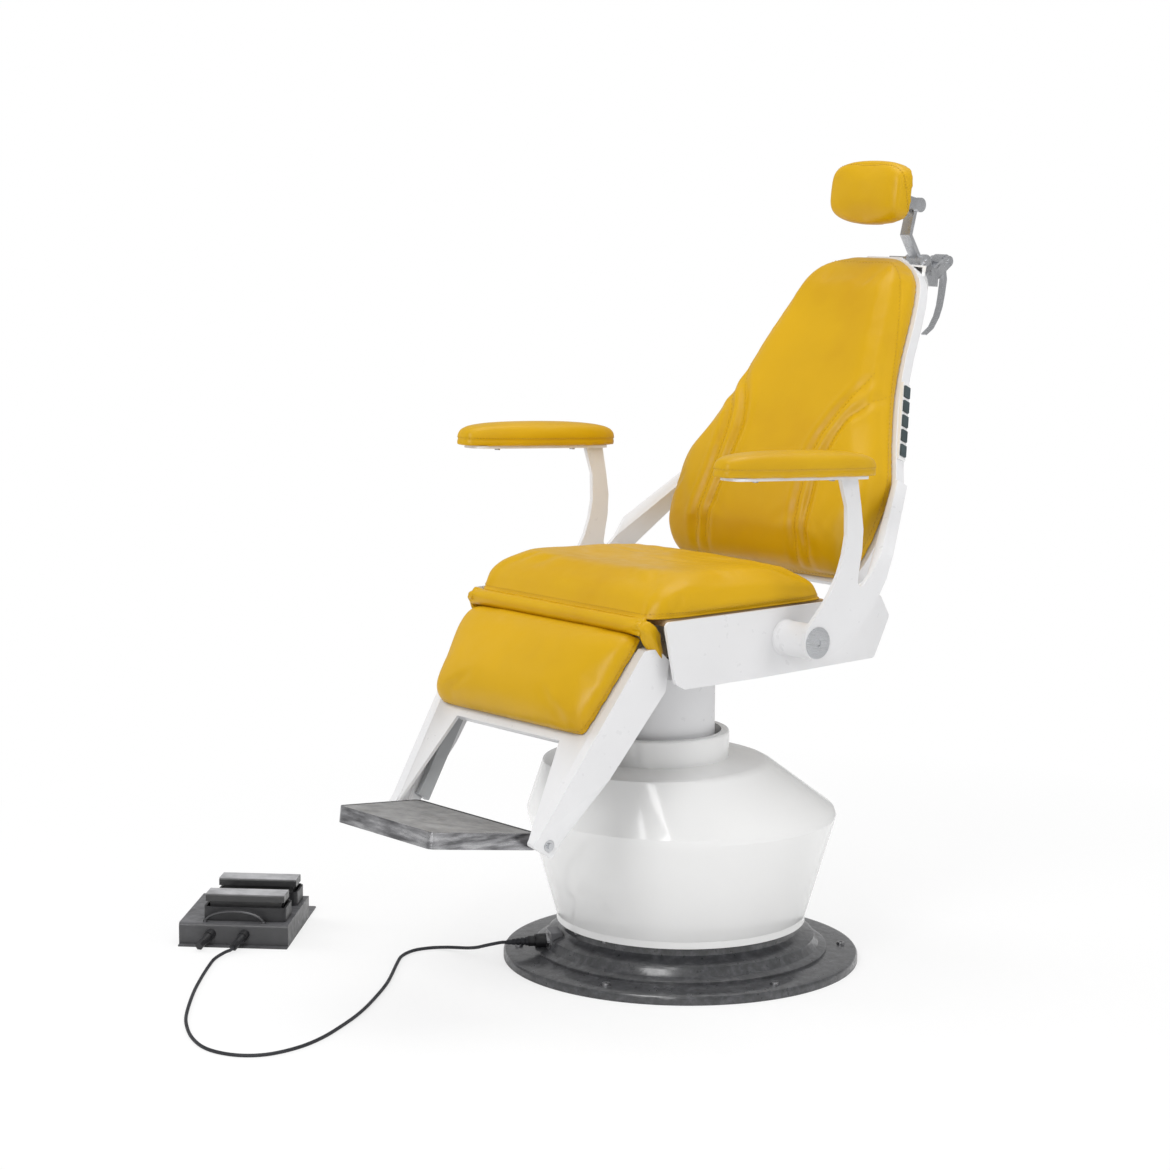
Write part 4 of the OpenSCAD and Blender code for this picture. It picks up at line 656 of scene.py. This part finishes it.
def seat_cushion(frame, leather, thread):
    """Seat: flat below, crowned above, with creases where the sitter's weight pulls the leather."""
    low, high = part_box("seat_cushion")
    node = frame["nodes"]["seat_cushion"]

    def held(points, outward):
        return points[:, 2] < low.z + 4 * MM

    def up(points, outward):
        """1 on faces that look up, fading to 0 on the sides."""
        return np.clip(outward[:, 2] * 1.6 - 0.25, 0, 1)

    piece = soft_copy(node, "seat_cushion_leather", 5.5 * MM, leather, held, pressure=4.5, cap=8 * MM,
                      shrink=0.5 * MM, soften=26)
    top = high.z
    middle = 0.5 * (low.y + high.y)
    # Hollow that years of sitting leave, then the folds that run out of it
    for side in (-1, 1):
        hollow = [(side * 0.075, middle - 0.03, top - 6 * MM),
                  (side * 0.085, middle + 0.07, top - 9 * MM)]
        dent(piece, hollow, 68 * MM, 3.4 * MM, fade=0, within=up)
    for a, b, c, width, depth in SEAT_FOLDS:
        dent(piece, [(a[0], a[1], top - 6 * MM), (b[0], b[1], top - 4 * MM), (c[0], c[1], top - 7 * MM)],
             width * MM, depth * MM, fade=0.45, ridge=0.55 * depth * MM, within=up)
    # Seam of the boxing, just over the board
    seam = cut_loop(piece, (0, 0, low.z + 6 * MM), (0, 0, 1), 3 * MM)
    dent(piece, seam + seam[:1], 2.2 * MM, 0.6 * MM, fade=0)
    rows = stitches("seat_seam_thread", piece, seam + seam[:1], 4 * MM, thread, side=Vector((0, 0, 1)))
    welt_loop = cut_loop(piece, (0, 0, low.z + 2.5 * MM), (0, 0, 1), 6 * MM)
    welt = piping("seat_welt", welt_loop, 1.9 * MM, leather)
    rides("seat", piece, rows, welt)
    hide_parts("seat_cushion")


# Back cushion in its leaning frame, in metres: foot, length, half width, rear face and thickness
BACK_FOOT = 0.148
BACK_LENGTH = 0.632
BACK_HALF = 0.252
BACK_FACE = 0.146
BACK_THICK = 0.074
BACK_FRONT = BACK_FACE - BACK_THICK

# Sewn channels: share of the length, then share of the half width
CHANNEL_INNER = ((0.0, 0.475), (0.07, 0.465), (0.17, 0.425), (0.27, 0.4), (0.37, 0.405), (0.42, 0.44),
                 (0.47, 0.49), (0.55, 0.6), (0.6, 0.64))
CHANNEL_OUTER = ((0.0, 0.59), (0.07, 0.57), (0.17, 0.545), (0.27, 0.53), (0.36, 0.545), (0.44, 0.6),
                 (0.5, 0.7), (0.56, 0.74))

# Folds at the panels' foot: three places across and up in metres, then width and depth in millimetres
BACK_FOLDS = (
    ((0.05, 0.21), (0.085, 0.235), (0.12, 0.25), 10, 1.0),
    ((0.16, 0.2), (0.19, 0.24), (0.215, 0.3), 11, 1.2),
    ((0.03, 0.3), (0.06, 0.32), (0.09, 0.325), 10, 0.7))


def on_surface(tree, points, direction, reach=0.12):
    """Each point moved along a direction onto a surface, or left out where it misses."""
    found = []
    for point in points:
        hit = tree.ray_cast(point - direction * reach, direction, 2 * reach)
        if hit[0] is not None:
            found.append(hit[0])
    return found


def smooth_line(points, steps=8):
    """Points on a smooth curve through the given ones."""
    points = [Vector(p) for p in points]
    ends = [2 * points[0] - points[1]] + points + [2 * points[-1] - points[-2]]
    found = []
    for p0, p1, p2, p3 in zip(ends, ends[1:], ends[2:], ends[3:]):
        for k in range(steps):
            t = k / steps
            found.append(0.5 * ((2 * p1) + (p2 - p0) * t + (2 * p0 - 5 * p1 + 4 * p2 - p3) * t * t
                                + (3 * p1 - p0 - 3 * p2 + p3) * t ** 3))
    return found + [points[-1]]


def back_cushion(frame, leather, thread):
    """Back: tapered, with two sewn channels at each side of its middle panel."""
    node = frame["nodes"]["back_cushion"]
    rear = BACK_FACE - 6 * MM

    def held(points, outward):
        local = in_frame(ON_BACK, points)
        turned = outward @ np.array(ON_BACK.to_3x3())
        return (turned[:, 1] > 0.6) & (local[:, 1] > rear)

    piece = soft_copy(node, "back_cushion_leather", 5.5 * MM, leather, held, pressure=4.5, cap=6 * MM,
                      shrink=0.8 * MM, soften=16)
    tree = BVHTree.FromObject(piece, bpy.context.evaluated_depsgraph_get())
    inward = ON_BACK.to_3x3() @ Vector((0, 1, 0))
    threads = []
    for side in (-1, 1):
        for number, shares in enumerate((CHANNEL_INNER, CHANNEL_OUTER)):
            raw = [ON_BACK @ Vector((side * BACK_HALF * x, BACK_FRONT, BACK_FOOT + BACK_LENGTH * u))
                   for u, x in shares]
            line = on_surface(tree, smooth_line(raw), inward)
            dent(piece, line, 9 * MM, 5.6 * MM, fade=0.3, ridge=1.6 * MM)
            threads.append((side, number, line))
    # Soft folds at the foot of the panels, where the hips press
    for side in (-1, 1):
        for a, b, c, width, depth in BACK_FOLDS:
            raw = [ON_BACK @ Vector((side * x, BACK_FRONT, z)) for x, z in (a, b, c)]
            dent(piece, on_surface(tree, smooth_line(raw), inward), width * MM, depth * MM, fade=0.45,
                 ridge=0.4 * depth * MM)
    sewn = [stitches(f"back_channel_thread_{number}_{'left' if side > 0 else 'right'}", piece, line,
                     0.0, thread, pitch=6.5 * MM, thread=0.35 * MM)
            for side, number, line in threads]
    at = ON_BACK @ Vector((0, BACK_FACE - 0.012, 0))
    seam = cut_loop(piece, at, inward, 4 * MM)
    dent(piece, seam + seam[:1], 2.4 * MM, 0.8 * MM, fade=0)
    rows = stitches("back_seam_thread", piece, seam + seam[:1], 4 * MM, thread, side=-inward)
    rides("back", piece, rows, *sewn)
    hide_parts("back_cushion")


def leg_cushion(frame, leather, thread):
    node = frame["nodes"]["leg_cushion"]
    outer = ON_LEG.to_3x3() @ Vector((0, -1, 0))
    face = min(in_frame(ON_LEG, coordinates(node.data))[:, 1])
    rear = max(in_frame(ON_LEG, coordinates(node.data))[:, 1])

    def held(points, outward):
        return in_frame(ON_LEG, points)[:, 1] > rear - 4 * MM

    piece = soft_copy(node, "leg_cushion_leather", 5 * MM, leather, held, pressure=4.0, cap=7 * MM,
                      shrink=0.4 * MM, soften=34)
    at = ON_LEG @ Vector((0, face + (rear - face) * 0.86, 0))
    seam = cut_loop(piece, at, outer, 3 * MM)
    dent(piece, seam + seam[:1], 2.6 * MM, 1.3 * MM, fade=0)
    rows = stitches("leg_seam_thread", piece, seam + seam[:1], 4 * MM, thread, side=outer)
    rides("leg", piece, rows)
    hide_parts("leg_cushion")


def arm_pads(frame, leather, thread):
    """Both pads are one CAD node; each side becomes its own piece."""
    node = frame["nodes"]["arm_pads"]

    def held(points, outward):
        return outward[:, 2] < -0.6

    both = soft_copy(node, "arm_pad_both", 4 * MM, leather, held, pressure=3.5, cap=4 * MM, shrink=0.8 * MM)
    pads = []
    for side, name in ((1, "arm_pad_left_leather"), (-1, "arm_pad_right_leather")):
        piece = both.copy()
        piece.data = both.data.copy()
        piece.name = name
        bpy.context.scene.collection.objects.link(piece)
        work = bmesh.new()
        work.from_mesh(piece.data)
        bmesh.ops.delete(work, geom=[v for v in work.verts if v.co.x * side < 0], context="VERTS")
        work.to_mesh(piece.data)
        work.free()
        points = coordinates(piece.data)
        floor, roof = points[:, 2].min(), points[:, 2].max()
        tilt = math.radians(3)
        lean = Vector((0, math.sin(tilt), math.cos(tilt)))
        centre = Vector((side * 0.34, -0.06, floor + (roof - floor) * 0.36))
        seam = cut_loop(piece, centre, lean, 3 * MM)
        dent(piece, seam + seam[:1], 2.3 * MM, 1.2 * MM, fade=0)
        rows = stitches(name.replace("leather", "thread"), piece, seam + seam[:1], 3.5 * MM, thread,
                        side=Vector((0, 0, 1)))
        rides("back", piece, rows)
        pads.append(piece)
    bpy.data.objects.remove(both)
    for piece in pads:
        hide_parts("arm_pads")


def headrest_cushion(frame, leather, thread):
    node = frame["nodes"]["headrest_cushion"]
    low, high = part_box("headrest_cushion")

    def held(points, outward):
        return outward[:, 1] > 0.75

    piece = soft_copy(node, "headrest_leather", 4 * MM, leather, held, pressure=3.5, cap=4.5 * MM,
                      shrink=0.8 * MM)
    seam = cut_loop(piece, ((low + high) / 2 + Vector((0, 6 * MM, 0))), (0, 0.985, 0.17), 3 * MM)
    dent(piece, seam + seam[:1], 2.4 * MM, 1.3 * MM, fade=0)
    rows = stitches("headrest_seam_thread", piece, seam + seam[:1], 3.5 * MM, thread,
                    side=Vector((0, -1, 0)))
    rides("headrest", piece, rows)
    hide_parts("headrest_cushion")


# Way of the flap's ends: share, move in Y and Z in metres, half width and half thickness in millimetres
END_WAY = (
    (0.0, -0.004, 0.004, 13, 12), (0.4, 0.004, -0.002, 17, 13), (0.7, 0.011, -0.015, 18.5, 12),
    (0.85, 0.018, -0.031, 15.5, 9.5), (0.95, 0.028, -0.049, 11, 7), (1.0, 0.037, -0.064, 6, 4.5))


def gathered_end(side, half, at_y, at_z):
    """Leather drawn together at an end of the flap, which runs down beside the leg cushion."""
    start_x, reach = half - 0.02, 0.0185
    steps, around = 30, 24
    vertices = []
    shares, moves_y, moves_z, widths, heights = zip(*END_WAY)
    for k in range(steps):
        u = k / (steps - 1)
        s = u ** 0.8
        drop_y = np.interp(s, shares, moves_y)
        drop_z = np.interp(s, shares, moves_z)
        wide = np.interp(s, shares, widths) * MM
        tall = np.interp(s, shares, heights) * MM
        close = min(1, u / 0.05, (1 - u) / 0.05 + 0.25)
        x = side * (start_x + reach * math.sin(min(1, s * 1.6) * math.pi / 2))
        for i in range(around):
            turn = 2 * math.pi * i / around
            fold = 1 + 0.1 * math.sin(4 * turn + 9 * u) + 0.05 * math.sin(9 * turn - 14 * u)
            vertices.append((x + side * tall * close * fold * math.sin(turn) * s,
                             at_y + drop_y + wide * close * fold * math.cos(turn),
                             at_z + drop_z + tall * close * fold * math.sin(turn) * (1 - 0.6 * s)))
    faces = ring_faces(steps, around)
    faces.append(tuple(range(around))[::-1])
    faces.append(tuple(range((steps - 1) * around, steps * around)))
    return vertices, faces


def leg_flap(frame, leather):
    """Rolled flap over the leg hinge: a long gathered roll that swells at each end."""
    low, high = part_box("leg_flap")
    centre_y, centre_z = (low.y + high.y) / 2, (low.z + high.z) / 2
    half = (high.x - low.x) / 2
    rings, around = 160, 28
    vertices = []
    for k in range(rings):
        u = k / (rings - 1)
        x = -half + 2 * half * u
        edge = min(u, 1 - u)
        close = min(1, edge / 0.012) ** 0.5
        gather = math.exp(-(edge / 0.05) ** 2)
        for i in range(around):
            turn = 2 * math.pi * i / around
            fold = 1 + gather * 0.16 * math.sin(5 * turn + 26 * u) + 0.012 * math.sin(46 * u + turn)
            wide = ((high.y - low.y) / 2 + 1.5 * MM) * close * fold
            tall = ((high.z - low.z) / 2 + 4.5 * MM) * close * fold
            vertices.append((x, centre_y + wide * math.cos(turn), centre_z + tall * math.sin(turn)))
    faces = ring_faces(rings, around)
    faces.append(tuple(range(around))[::-1])
    faces.append(tuple(range((rings - 1) * around, rings * around)))
    ends = [gathered_end(side, half, centre_y, centre_z) for side in (-1, 1)]
    piece = new_object("leg_flap_leather", *joined([(vertices, faces), *ends]), leather)
    line = [(-half * 0.93 + 2 * half * 0.93 * k / 60, low.y - 0.5 * MM, centre_z - 2 * MM)
            for k in range(61)]
    dent(piece, line, 2.2 * MM, 1.0 * MM, fade=0.05)
    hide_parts("leg_flap")
    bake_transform(piece)


# Footrest mat


def footrest_mat(frame, rubber):
    """The mat with fine ribs across it, inside the outline of its CAD slab."""
    node = frame["nodes"]["footrest_mat"]
    points = coordinates(node.data)
    low, high = points.min(0), points.max(0)
    front = points[points[:, 1] < low[1] + 1 * MM]
    back = points[points[:, 1] > high[1] - 1 * MM]
    front_top, back_top = front[:, 2].max(), back[:, 2].max()
    way = Vector((0, high[1] - low[1], back_top - front_top)).normalized()
    up = way.cross(Vector((1, 0, 0))) * -1
    up = up if up.z > 0 else -up
    length = math.hypot(high[1] - low[1], back_top - front_top)
    pitch, rib, depth = 5 * MM, 3.2 * MM, 1.1 * MM
    profile = ((0.0, -1), (0.12, 0), (rib / pitch - 0.06, 0), (rib / pitch + 0.06, -1), (0.99, -1))
    start = Vector((0, low[1], front_top))
    rows = []
    count = int((length - 6 * MM) / pitch)
    for k in range(count):
        for share, level in profile:
            rows.append((3 * MM + (k + share) * pitch, level * depth))
    rows = [(0.6 * MM, -0.6 * MM)] + rows + [(length - 0.6 * MM, -0.6 * MM)]
    outline = top_outline(points, start, way)
    vertices = []
    columns = 9
    for along, level in rows:
        half = np.interp(along, outline[0], outline[1]) - 0.8 * MM
        for c in range(columns):
            x = -half + 2 * half * c / (columns - 1)
            vertices.append(start + way * along + up * level + Vector((x, 0, 0)))
    faces = ring_faces(len(rows), columns, closed=False)
    made = new_object("footrest_mat_ribbed", vertices, [f[::-1] for f in faces], rubber, smooth=False)
    solid = made.modifiers.new("thick", "SOLIDIFY")
    solid.thickness = 2.6 * MM
    solid.offset = -1
    apply_modifiers(made)
    if made.data.polygons[len(rows) // 2].normal.dot(up) < 0:
        made.data.flip_normals()
    rides("footrest", made, slot="mat_rubber")
    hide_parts("footrest_mat")


def top_outline(points, start, way):
    """Half width of a slab's top by distance along it."""
    along = (points - np.array(start)) @ np.array(way)
    half = np.abs(points[:, 0])
    order = np.argsort(along)
    places, widths = [], []
    for i in order:
        if half[i] < 1 * MM:
            continue
        if places and abs(along[i] - places[-1]) < 2 * MM:
            widths[-1] = max(widths[-1], half[i])
            continue
        places.append(along[i])
        widths.append(half[i])
    return places, widths


# Cord: the route of part.scad over the floor, in millimetres
CORD_WAY = (
    (-174, -308, 34), (-202, -309, 24), (-235, -305, 15),
    (-265, -304, 9), (-292, -311, 5), (-312, -332, 3.2), (-317, -365, 3.2), (-302, -402, 3.2),
    (-270, -437, 3.2), (-184, -521, 3.2), (-116, -600, 3.2), (-65, -667, 3.2), (-26, -730, 3.2),
    (8, -795, 3.2), (26, -855, 3.2), (24, -915, 3.2), (-6, -955, 3.2), (-60, -972, 3.2),
    (-125, -959, 3.2), (-197, -925, 3.2), (-256, -886, 3.2), (-343, -818, 3.2), (-412, -758, 3.2),
    (-470, -704, 3.2), (-498, -674, 4), (-511, -645, 7))
CORD_DIAMETER = 6 * MM
OUTLET_TURN = -118
GLAND_END = Vector((-519.1, -622.2, 10.5)) * MM
GLAND_WAY = Vector((0.4851, -0.8403, -0.2419))
CORD_LEAD = 10 * MM


def control_cord(frame, rubber):
    """The cord from the plug at the base to the gland at the pedal."""
    outlet = Vector((math.cos(math.radians(OUTLET_TURN)), math.sin(math.radians(OUTLET_TURN)), 0))
    relief = coordinates(frame["nodes"]["strain_relief"].data)
    reach = (relief @ np.array(outlet)).max()
    height = float(relief[:, 2].max() + relief[:, 2].min()) / 2
    exit_at = outlet * reach + Vector((0, 0, height))
    route = [exit_at, exit_at + outlet * CORD_LEAD] + [Vector(p) * MM for p in CORD_WAY]
    route += [GLAND_END + GLAND_WAY * CORD_LEAD, GLAND_END]
    curve = bpy.data.curves.new("control_cord_jacket", "CURVE")
    curve.dimensions = "3D"
    curve.bevel_depth = CORD_DIAMETER / 2
    curve.bevel_resolution = 5
    curve.use_fill_caps = True
    spline = curve.splines.new("POLY")
    line = smooth_line(route, steps=6)
    spline.points.add(len(line) - 1)
    for point, place in zip(spline.points, line):
        point.co = (*place, 1)
    spline.use_smooth = True
    curve.materials.append(rubber)
    made = bpy.data.objects.new("control_cord_jacket", curve)
    bpy.context.scene.collection.objects.link(made)
    rides("base", made, slot="cord_rubber")
    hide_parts("control_cord")


# Small parts of the base cover


# Clips: degrees about Z, radius of the rim and height of its foot in metres, and in millimetres the
# profile, out and up, and the places of its sections across, the outer ones a little smaller
CLIP_TURNS = (-99, -79)
CLIP_RADIUS = 0.2205
CLIP_FOOT = 72 * MM
CLIP_PROFILE = ((0.0, -4), (2.6, -4), (3.2, 0), (3.2, 7), (2.4, 9), (1.2, 10), (0.0, 9.4))
CLIP_SECTIONS = (-3.2, -2.6, 2.6, 3.2)


def cover_clips(steel):
    """Two spring clips that hold the cover's rim, on the side towards the pedal."""
    around, last = len(CLIP_PROFILE), len(CLIP_SECTIONS) - 1
    parts = []
    for turn in CLIP_TURNS:
        across = Matrix.Rotation(math.radians(turn), 4, "Z")
        rings = []
        for side in CLIP_SECTIONS:
            inset = 0.5 if abs(side) > 3 else 0.0
            rings += [across @ Vector((CLIP_RADIUS + max(0, x - inset) * MM, side * MM, CLIP_FOOT + z * MM))
                      for x, z in CLIP_PROFILE]
        faces = ring_faces(len(CLIP_SECTIONS), around)
        faces.append(tuple(range(around))[::-1])
        faces.append(tuple(range(last * around, (last + 1) * around)))
        parts.append((rings, faces))
    made = new_object("cover_clips", *joined(parts), steel, smooth=False)
    rides("base", made, slot="zinc_screw")


# Stage, light and camera


def floor_material():
    """Pale floor: the camera sees soft shadows near the chair, and plain white further out."""
    made = Shader("floor_pale", (0.93, 0.93, 0.93), 0.85)
    made.bsdf.inputs["Specular IOR Level"].default_value = 0.1
    glow = made.node("ShaderNodeEmission", Color=(1, 1, 1, 1), Strength=1.0)
    reach = made.node("ShaderNodeVectorMath")
    reach.operation = "LENGTH"
    made.feed(reach.inputs[0], made.coords)
    # Share of plain white, growing from 0.5 m to 1.9 m from the middle
    far = made.spread(reach.outputs["Value"], 0.66, 1.0, from_low=0.5, from_high=1.9)
    seen = made.node("ShaderNodeMath")
    seen.operation = "MULTIPLY"
    made.feed(seen.inputs[0], far)
    made.feed(seen.inputs[1], made.node("ShaderNodeLightPath").outputs["Is Camera Ray"])
    mix = made.node("ShaderNodeMixShader", Fac=seen.outputs[0])
    made.feed(mix.inputs[1], made.bsdf.outputs[0])
    made.feed(mix.inputs[2], glow.outputs[0])
    made.feed(made.tree.nodes["Material Output"].inputs["Surface"], mix.outputs[0])
    return made.material


def build_stage():
    size = 30
    floor = new_object("floor", [(-size, -size, 0), (size, -size, 0), (size, size, 0), (-size, size, 0)],
                       [(0, 1, 2, 3)], floor_material(), smooth=False)
    world = bpy.data.worlds.new("studio")
    bpy.context.scene.world = world
    world.use_nodes = True
    tree = world.node_tree
    ambient = tree.nodes["Background"]
    ambient.inputs["Color"].default_value = (1, 1, 1, 1)
    ambient.inputs["Strength"].default_value = 0.46
    seen = tree.nodes.new("ShaderNodeBackground")
    seen.inputs["Color"].default_value = (1, 1, 1, 1)
    seen.inputs["Strength"].default_value = 1.0
    path = tree.nodes.new("ShaderNodeLightPath")
    sees = tree.nodes.new("ShaderNodeMath")
    sees.operation = "MAXIMUM"
    tree.links.new(path.outputs["Is Camera Ray"], sees.inputs[0])
    tree.links.new(path.outputs["Is Transmission Ray"], sees.inputs[1])
    mix = tree.nodes.new("ShaderNodeMixShader")
    tree.links.new(sees.outputs[0], mix.inputs["Fac"])
    tree.links.new(ambient.outputs[0], mix.inputs[1])
    tree.links.new(seen.outputs[0], mix.inputs[2])
    tree.links.new(mix.outputs[0], tree.nodes["World Output"].inputs["Surface"])


def area_light(name, place, target, width, height, power, mirrored=True, lights=True):
    """Light at place, turned to target, with sizes in metres and power in watts.

    mirrored says whether reflections show it, lights whether it falls on matt surfaces.
    """
    light = bpy.data.lights.new(name, "AREA")
    light.shape = "RECTANGLE"
    light.size, light.size_y = width, height
    light.energy = power
    made = bpy.data.objects.new(name, light)
    made.location = place
    made.rotation_euler = (Vector(target) - Vector(place)).to_track_quat("-Z", "Y").to_euler()
    made.visible_glossy = mirrored
    made.visible_diffuse = lights
    bpy.context.scene.collection.objects.link(made)


def build_lights():
    aim = (0, -0.05, 0.7)
    area_light("key", (1.6, -3.4, 3.1), aim, 1.6, 1.6, 66)
    area_light("side", (3.7, 1.3, 2.2), aim, 2.6, 2.6, 47, mirrored=False)
    area_light("strip", (1.95, -2.28, 1.05), (0, 0, 0.4), 0.4, 1.5, 9, lights=False)
    area_light("thin_strip", (1.2, -2.75, 1.05), (0, 0, 0.4), 0.22, 1.5, 4, lights=False)
    area_light("fill", (-3.4, -2.0, 2.2), aim, 2.4, 2.4, 60, mirrored=False)
    area_light("over", (0.2, 0.6, 3.8), (0, 0, 0.6), 2.6, 2.6, 50)


def build_camera():
    data = bpy.data.cameras.new("camera")
    data.sensor_width = SENSOR_MM
    data.lens = FOCAL_PX * SENSOR_MM / PHOTO_PX
    data.clip_end = 100
    made = bpy.data.objects.new("camera", data)
    bpy.context.scene.collection.objects.link(made)
    turned = Matrix((CAMERA_RIGHT, CAMERA_UP, -CAMERA_AHEAD)).transposed().to_4x4()
    turned.translation = CAMERA_AT
    made.matrix_world = turned
    bpy.context.scene.camera = made
    bpy.context.scene.view_settings.view_transform = "Standard"


# Bevel widths of CAD nodes in metres, where they differ from 1 mm
EDGE_WIDTHS = {
    "side_plate_left": 0.0016, "side_plate_right": 0.0016, "leg_frame": 0.0016, "rear_cover": 0.004,
    "side_panel_left": 0.0016, "side_panel_right": 0.0016, "front_treadle": 0.0035,
    "rear_treadle": 0.0035, "pedal_tray": 0.002, "switch_housings": 0.0025, "clamp_lever": 0.0008,
    "floor_screws": 0.0005, "arm_screws": 0.0003, "leg_bolts": 0.0005, "pivot_caps": 0.0006,
    "footrest_tray": 0.0035, "strain_relief": 0.0003, "panel_connector": 0.0005, "thrust_washer": 0.0003,
}


# Distances within which a node's points are one, where they differ from 0.02 mm
WELDS = {"leg_frame": 0.15 * MM, "side_panel_left": 0.06 * MM, "side_panel_right": 0.06 * MM,
         "footrest_tray": 0.05 * MM, "rear_cover": 0.08 * MM, "base_plate": 0.06 * MM,
         "pedal_hoop": 0.05 * MM, "pedestal_cover": 0.01 * MM}


def main():
    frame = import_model()
    build_camera()
    materials = build_materials()
    slots = {entry["node"]: entry["material_slot"] for entry in frame["record"]["subparts"]}
    control_cord(frame, materials["cord_rubber"])
    for name, node in frame["nodes"].items():
        for slot in node.material_slots:
            slot.link = "OBJECT"
            slot.material = materials[slots[name]]
        refine_cad(node, EDGE_WIDTHS.get(name, 1 * MM), WELDS.get(name, 0.02 * MM))
    thread = thread_material()
    leather = materials["yellow_leather"]
    seat_cushion(frame, leather, thread)
    back_cushion(frame, leather, thread)
    leg_cushion(frame, leather, thread)
    arm_pads(frame, leather, thread)
    headrest_cushion(frame, leather, thread)
    leg_flap(frame, leather)
    footrest_mat(frame, materials["mat_rubber"])
    cover_clips(materials["zinc_screw"])
    build_stage()
    build_lights()


main()
